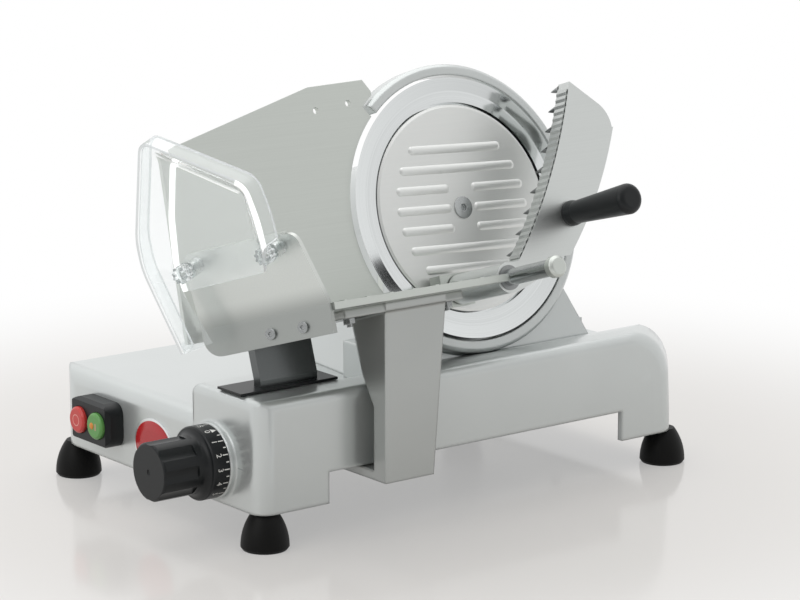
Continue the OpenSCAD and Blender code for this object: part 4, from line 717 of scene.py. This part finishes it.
# Buttons: a pale ring on the red one, a pale bar and an amber lens on the green one
stopLow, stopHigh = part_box("stop_button")
startLow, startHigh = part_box("start_button")
startMid = Vector((startLow.x, (startLow.y + startHigh.y) / 2, (startLow.z + startHigh.z) / 2))
buttonMarks = {"proud": 0.05, "ring": 4.4, "ringWide": 0.7, "ringSides": 48,
               "bar": (1.0, 5.2), "barAside": -2.6, "barRound": 0.35, "barSteps": 3,
               "lens": 2.6, "lensAside": 2.4, "lensSides": 32, "lensRise": 0.5, "lensTaper": 0.85,
               "lensEdge": 0.8, "lensCrown": 0.3, "smooth": 50}
bpy.ops.object.select_all(action="DESELECT")
bpy.ops.mesh.primitive_circle_add(vertices=buttonMarks["ringSides"], radius=buttonMarks["ring"] * mm,
                                  fill_type="NGON")
ring = bpy.context.object
bpy.ops.object.mode_set(mode="EDIT")
bpy.ops.mesh.select_all(action="SELECT")
bpy.ops.mesh.inset(thickness=buttonMarks["ringWide"] * mm)
bpy.ops.mesh.delete(type="FACE")
bpy.ops.object.mode_set(mode="OBJECT")
ring.rotation_euler = (0, -math.pi / 2, 0)
ring.location = (stopLow.x - buttonMarks["proud"] * mm, (stopLow.y + stopHigh.y) / 2,
                 (stopLow.z + stopHigh.z) / 2)
bpy.ops.object.transform_apply(location=True, rotation=True, scale=True)
finishPiece(ring, "stop_ring", paleMark, "stop")

bpy.ops.object.select_all(action="DESELECT")
bpy.ops.mesh.primitive_plane_add(size=1)
bar = bpy.context.object
bar.scale = (buttonMarks["bar"][1] * mm, buttonMarks["bar"][0] * mm, 1)
bar.rotation_euler = (0, -math.pi / 2, 0)
bar.location = startMid + Vector((-buttonMarks["proud"], buttonMarks["barAside"], 0)) * mm
bpy.ops.object.transform_apply(location=True, rotation=True, scale=True)
bpy.ops.object.mode_set(mode="EDIT")
bpy.ops.mesh.select_all(action="SELECT")
bpy.ops.mesh.bevel(offset=buttonMarks["barRound"] * mm, segments=buttonMarks["barSteps"], affect="VERTICES")
bpy.ops.object.mode_set(mode="OBJECT")
finishPiece(bar, "start_bar", paleMark, "start")

bpy.ops.object.select_all(action="DESELECT")
bpy.ops.mesh.primitive_circle_add(vertices=buttonMarks["lensSides"], radius=buttonMarks["lens"] * mm,
                                  fill_type="NGON")
lens = bpy.context.object
bpy.ops.object.mode_set(mode="EDIT")
bpy.ops.mesh.select_all(action="SELECT")
bpy.ops.mesh.extrude_region_move(TRANSFORM_OT_translate={"value": (0, 0, buttonMarks["lensRise"] * mm)})
bpy.ops.transform.resize(value=(buttonMarks["lensTaper"], buttonMarks["lensTaper"], 1))
bpy.ops.mesh.inset(thickness=buttonMarks["lensEdge"] * mm)
bpy.ops.transform.translate(value=(0, 0, buttonMarks["lensCrown"] * mm))
bpy.ops.object.mode_set(mode="OBJECT")
lens.rotation_euler = (0, -math.pi / 2, 0)
lens.location = startMid + Vector((0, buttonMarks["lensAside"], 0)) * mm
bpy.ops.object.transform_apply(location=True, rotation=True, scale=True)
bpy.ops.object.shade_smooth_by_angle(angle=math.radians(buttonMarks["smooth"]))
finishPiece(lens, "start_lens", orangeLens, "start")
print("button marks made")

# Camera at the photograph's angle, fitted to the photograph
cameraSettings = {"fromMid": (-1.3829, -1.8230, 0.6391), "yaw": 37.71, "pitch": 12.52, "lens": 139.22,
                  "sensor": 36, "clip": (0.05, 60)}
yaw, pitch = math.radians(cameraSettings["yaw"]), math.radians(cameraSettings["pitch"])
aim = Vector((math.sin(yaw) * math.cos(pitch), math.cos(yaw) * math.cos(pitch), -math.sin(pitch)))
bpy.ops.object.camera_add(location=baseMid + Vector(cameraSettings["fromMid"]))
camera = bpy.context.object
camera.rotation_euler = aim.to_track_quat("-Z", "Y").to_euler()
camera.data.lens = cameraSettings["lens"]
camera.data.sensor_width = cameraSettings["sensor"]
camera.data.sensor_fit = "HORIZONTAL"
camera.data.clip_start, camera.data.clip_end = cameraSettings["clip"]
scene.camera = camera
print("camera set")


def seenPlainly(tree):  # by the camera, in a reflection or through something clear
    path = addNode(tree, "LightPath").outputs
    seen = addNode(tree, "Math", {0: path["Is Camera Ray"], 1: path["Is Glossy Ray"]}, operation="MAXIMUM")
    both = addNode(tree, "Math", {0: seen.outputs[0], 1: path["Is Transmission Ray"]}, operation="MAXIMUM")
    return both.outputs[0]


# Floor: pale coated card that runs out into white away from the machine, and keeps the shadow
floorSettings = {"size": 8, "light": "#bfbab4", "dark": "#bbb6b0", "cloud": 600, "gloss": 0.12, "near": 0.28,
                 "far": 0.7, "least": 0.36}
bpy.ops.object.select_all(action="DESELECT")
bpy.ops.mesh.primitive_plane_add(size=floorSettings["size"], location=(baseMid.x, baseMid.y, 0))
floor = bpy.context.object
floor.name = "floor"
floorSheet, floorTree, floorShader = newMaterial("coated_card", **{"Roughness": floorSettings["gloss"],
                                                 "IOR": 1.45})
floorPlace = addNode(floorTree, "TexCoord").outputs["Object"]
floorCloud = addNode(floorTree, "TexNoise", {"Vector": floorPlace, "Scale": perMetre(floorSettings["cloud"]),
                     "Detail": 1.0})
floorTone = addNode(floorTree, "Mix", {"Factor": floorCloud.outputs["Fac"], "A": srgb(floorSettings["dark"]),
                    "B": srgb(floorSettings["light"])}, data_type="RGBA")
floorTree.links.new(floorTone.outputs["Result"], floorShader.inputs["Base Color"])
away = addNode(floorTree, "VectorMath", {0: floorPlace}, operation="LENGTH")
whiten = addNode(floorTree, "MapRange", {"Value": away.outputs["Value"], "From Min": floorSettings["near"],
                 "From Max": floorSettings["far"], "To Min": floorSettings["least"], "To Max": 1.0},
                 interpolation_type="SMOOTHSTEP")
whiteShare = addNode(floorTree, "Math", {0: whiten.outputs["Result"], 1: seenPlainly(floorTree)},
                     operation="MULTIPLY")
whiteCard = addNode(floorTree, "Emission", {"Color": (1, 1, 1, 1), "Strength": 1.0})
floorBoth = addNode(floorTree, "MixShader", {0: whiteShare.outputs[0], 1: floorShader.outputs[0],
                    2: whiteCard.outputs[0]})
floorOutput = next(n for n in floorTree.nodes if n.type == "OUTPUT_MATERIAL")
floorTree.links.new(floorBoth.outputs[0], floorOutput.inputs["Surface"])
floor.data.materials.append(floorSheet)
print("floor laid")

# World: a white studio that is darker on the operator's side, and lights from above and behind
studio = {"back": 1.0, "front": 0.42, "turn": (-0.9, 0.1), "lift": 0.25, "fillLow": 0.16, "fillHigh": 0.95,
          "fillTurn": (-0.4, 0.8), "from": (-0.25, 0.2, 0.95)}
world = bpy.data.worlds.new("studio")
scene.world = world
world.use_nodes = True
worldTree = world.node_tree
worldTree.nodes.clear()
heading = addNode(worldTree, "TexCoord").outputs["Generated"]
facing = addNode(worldTree, "VectorMath", {0: heading, 1: (aim.x, aim.y, studio["lift"])},
                 operation="DOT_PRODUCT")
share = addNode(worldTree, "MapRange", {"Value": facing.outputs["Value"], "From Min": studio["turn"][0],
                "From Max": studio["turn"][1], "To Min": studio["front"], "To Max": studio["back"]},
                interpolation_type="SMOOTHSTEP")
above = addNode(worldTree, "VectorMath", {0: heading, 1: studio["from"]}, operation="DOT_PRODUCT")
fill = addNode(worldTree, "MapRange", {"Value": above.outputs["Value"], "From Min": studio["fillTurn"][0],
               "From Max": studio["fillTurn"][1], "To Min": studio["fillLow"], "To Max": studio["fillHigh"]},
               interpolation_type="SMOOTHSTEP")
level = addNode(worldTree, "Mix", {"Factor": seenPlainly(worldTree), "A": fill.outputs["Result"],
                "B": share.outputs["Result"]}, data_type="FLOAT")
sky = addNode(worldTree, "Background", {"Color": (1, 1, 1, 1), "Strength": level.outputs["Result"]})
addNode(worldTree, "OutputWorld", {"Surface": sky.outputs[0]})

# Lamps: one large soft box overhead and a little behind, one weak fill from the left
lamps = [
    {"name": "overhead_softbox", "place": (0.1, 0.35, 1.9), "aim": (0, 0, 0.1), "size": 2.6, "power": 17},
    {"name": "left_fill", "place": (-1.9, -0.3, 1.1), "aim": (0, 0, 0.15), "size": 1.2, "power": 7},
]
for lamp in lamps:
    bpy.ops.object.light_add(type="AREA", location=baseMid + Vector(lamp["place"]))
    light = bpy.context.object
    light.name = lamp["name"]
    light.data.size = lamp["size"]
    light.data.energy = lamp["power"]
    toward = Vector(lamp["aim"]) - Vector(lamp["place"])
    light.rotation_euler = toward.to_track_quat("-Z", "Y").to_euler()
print("stage lit")
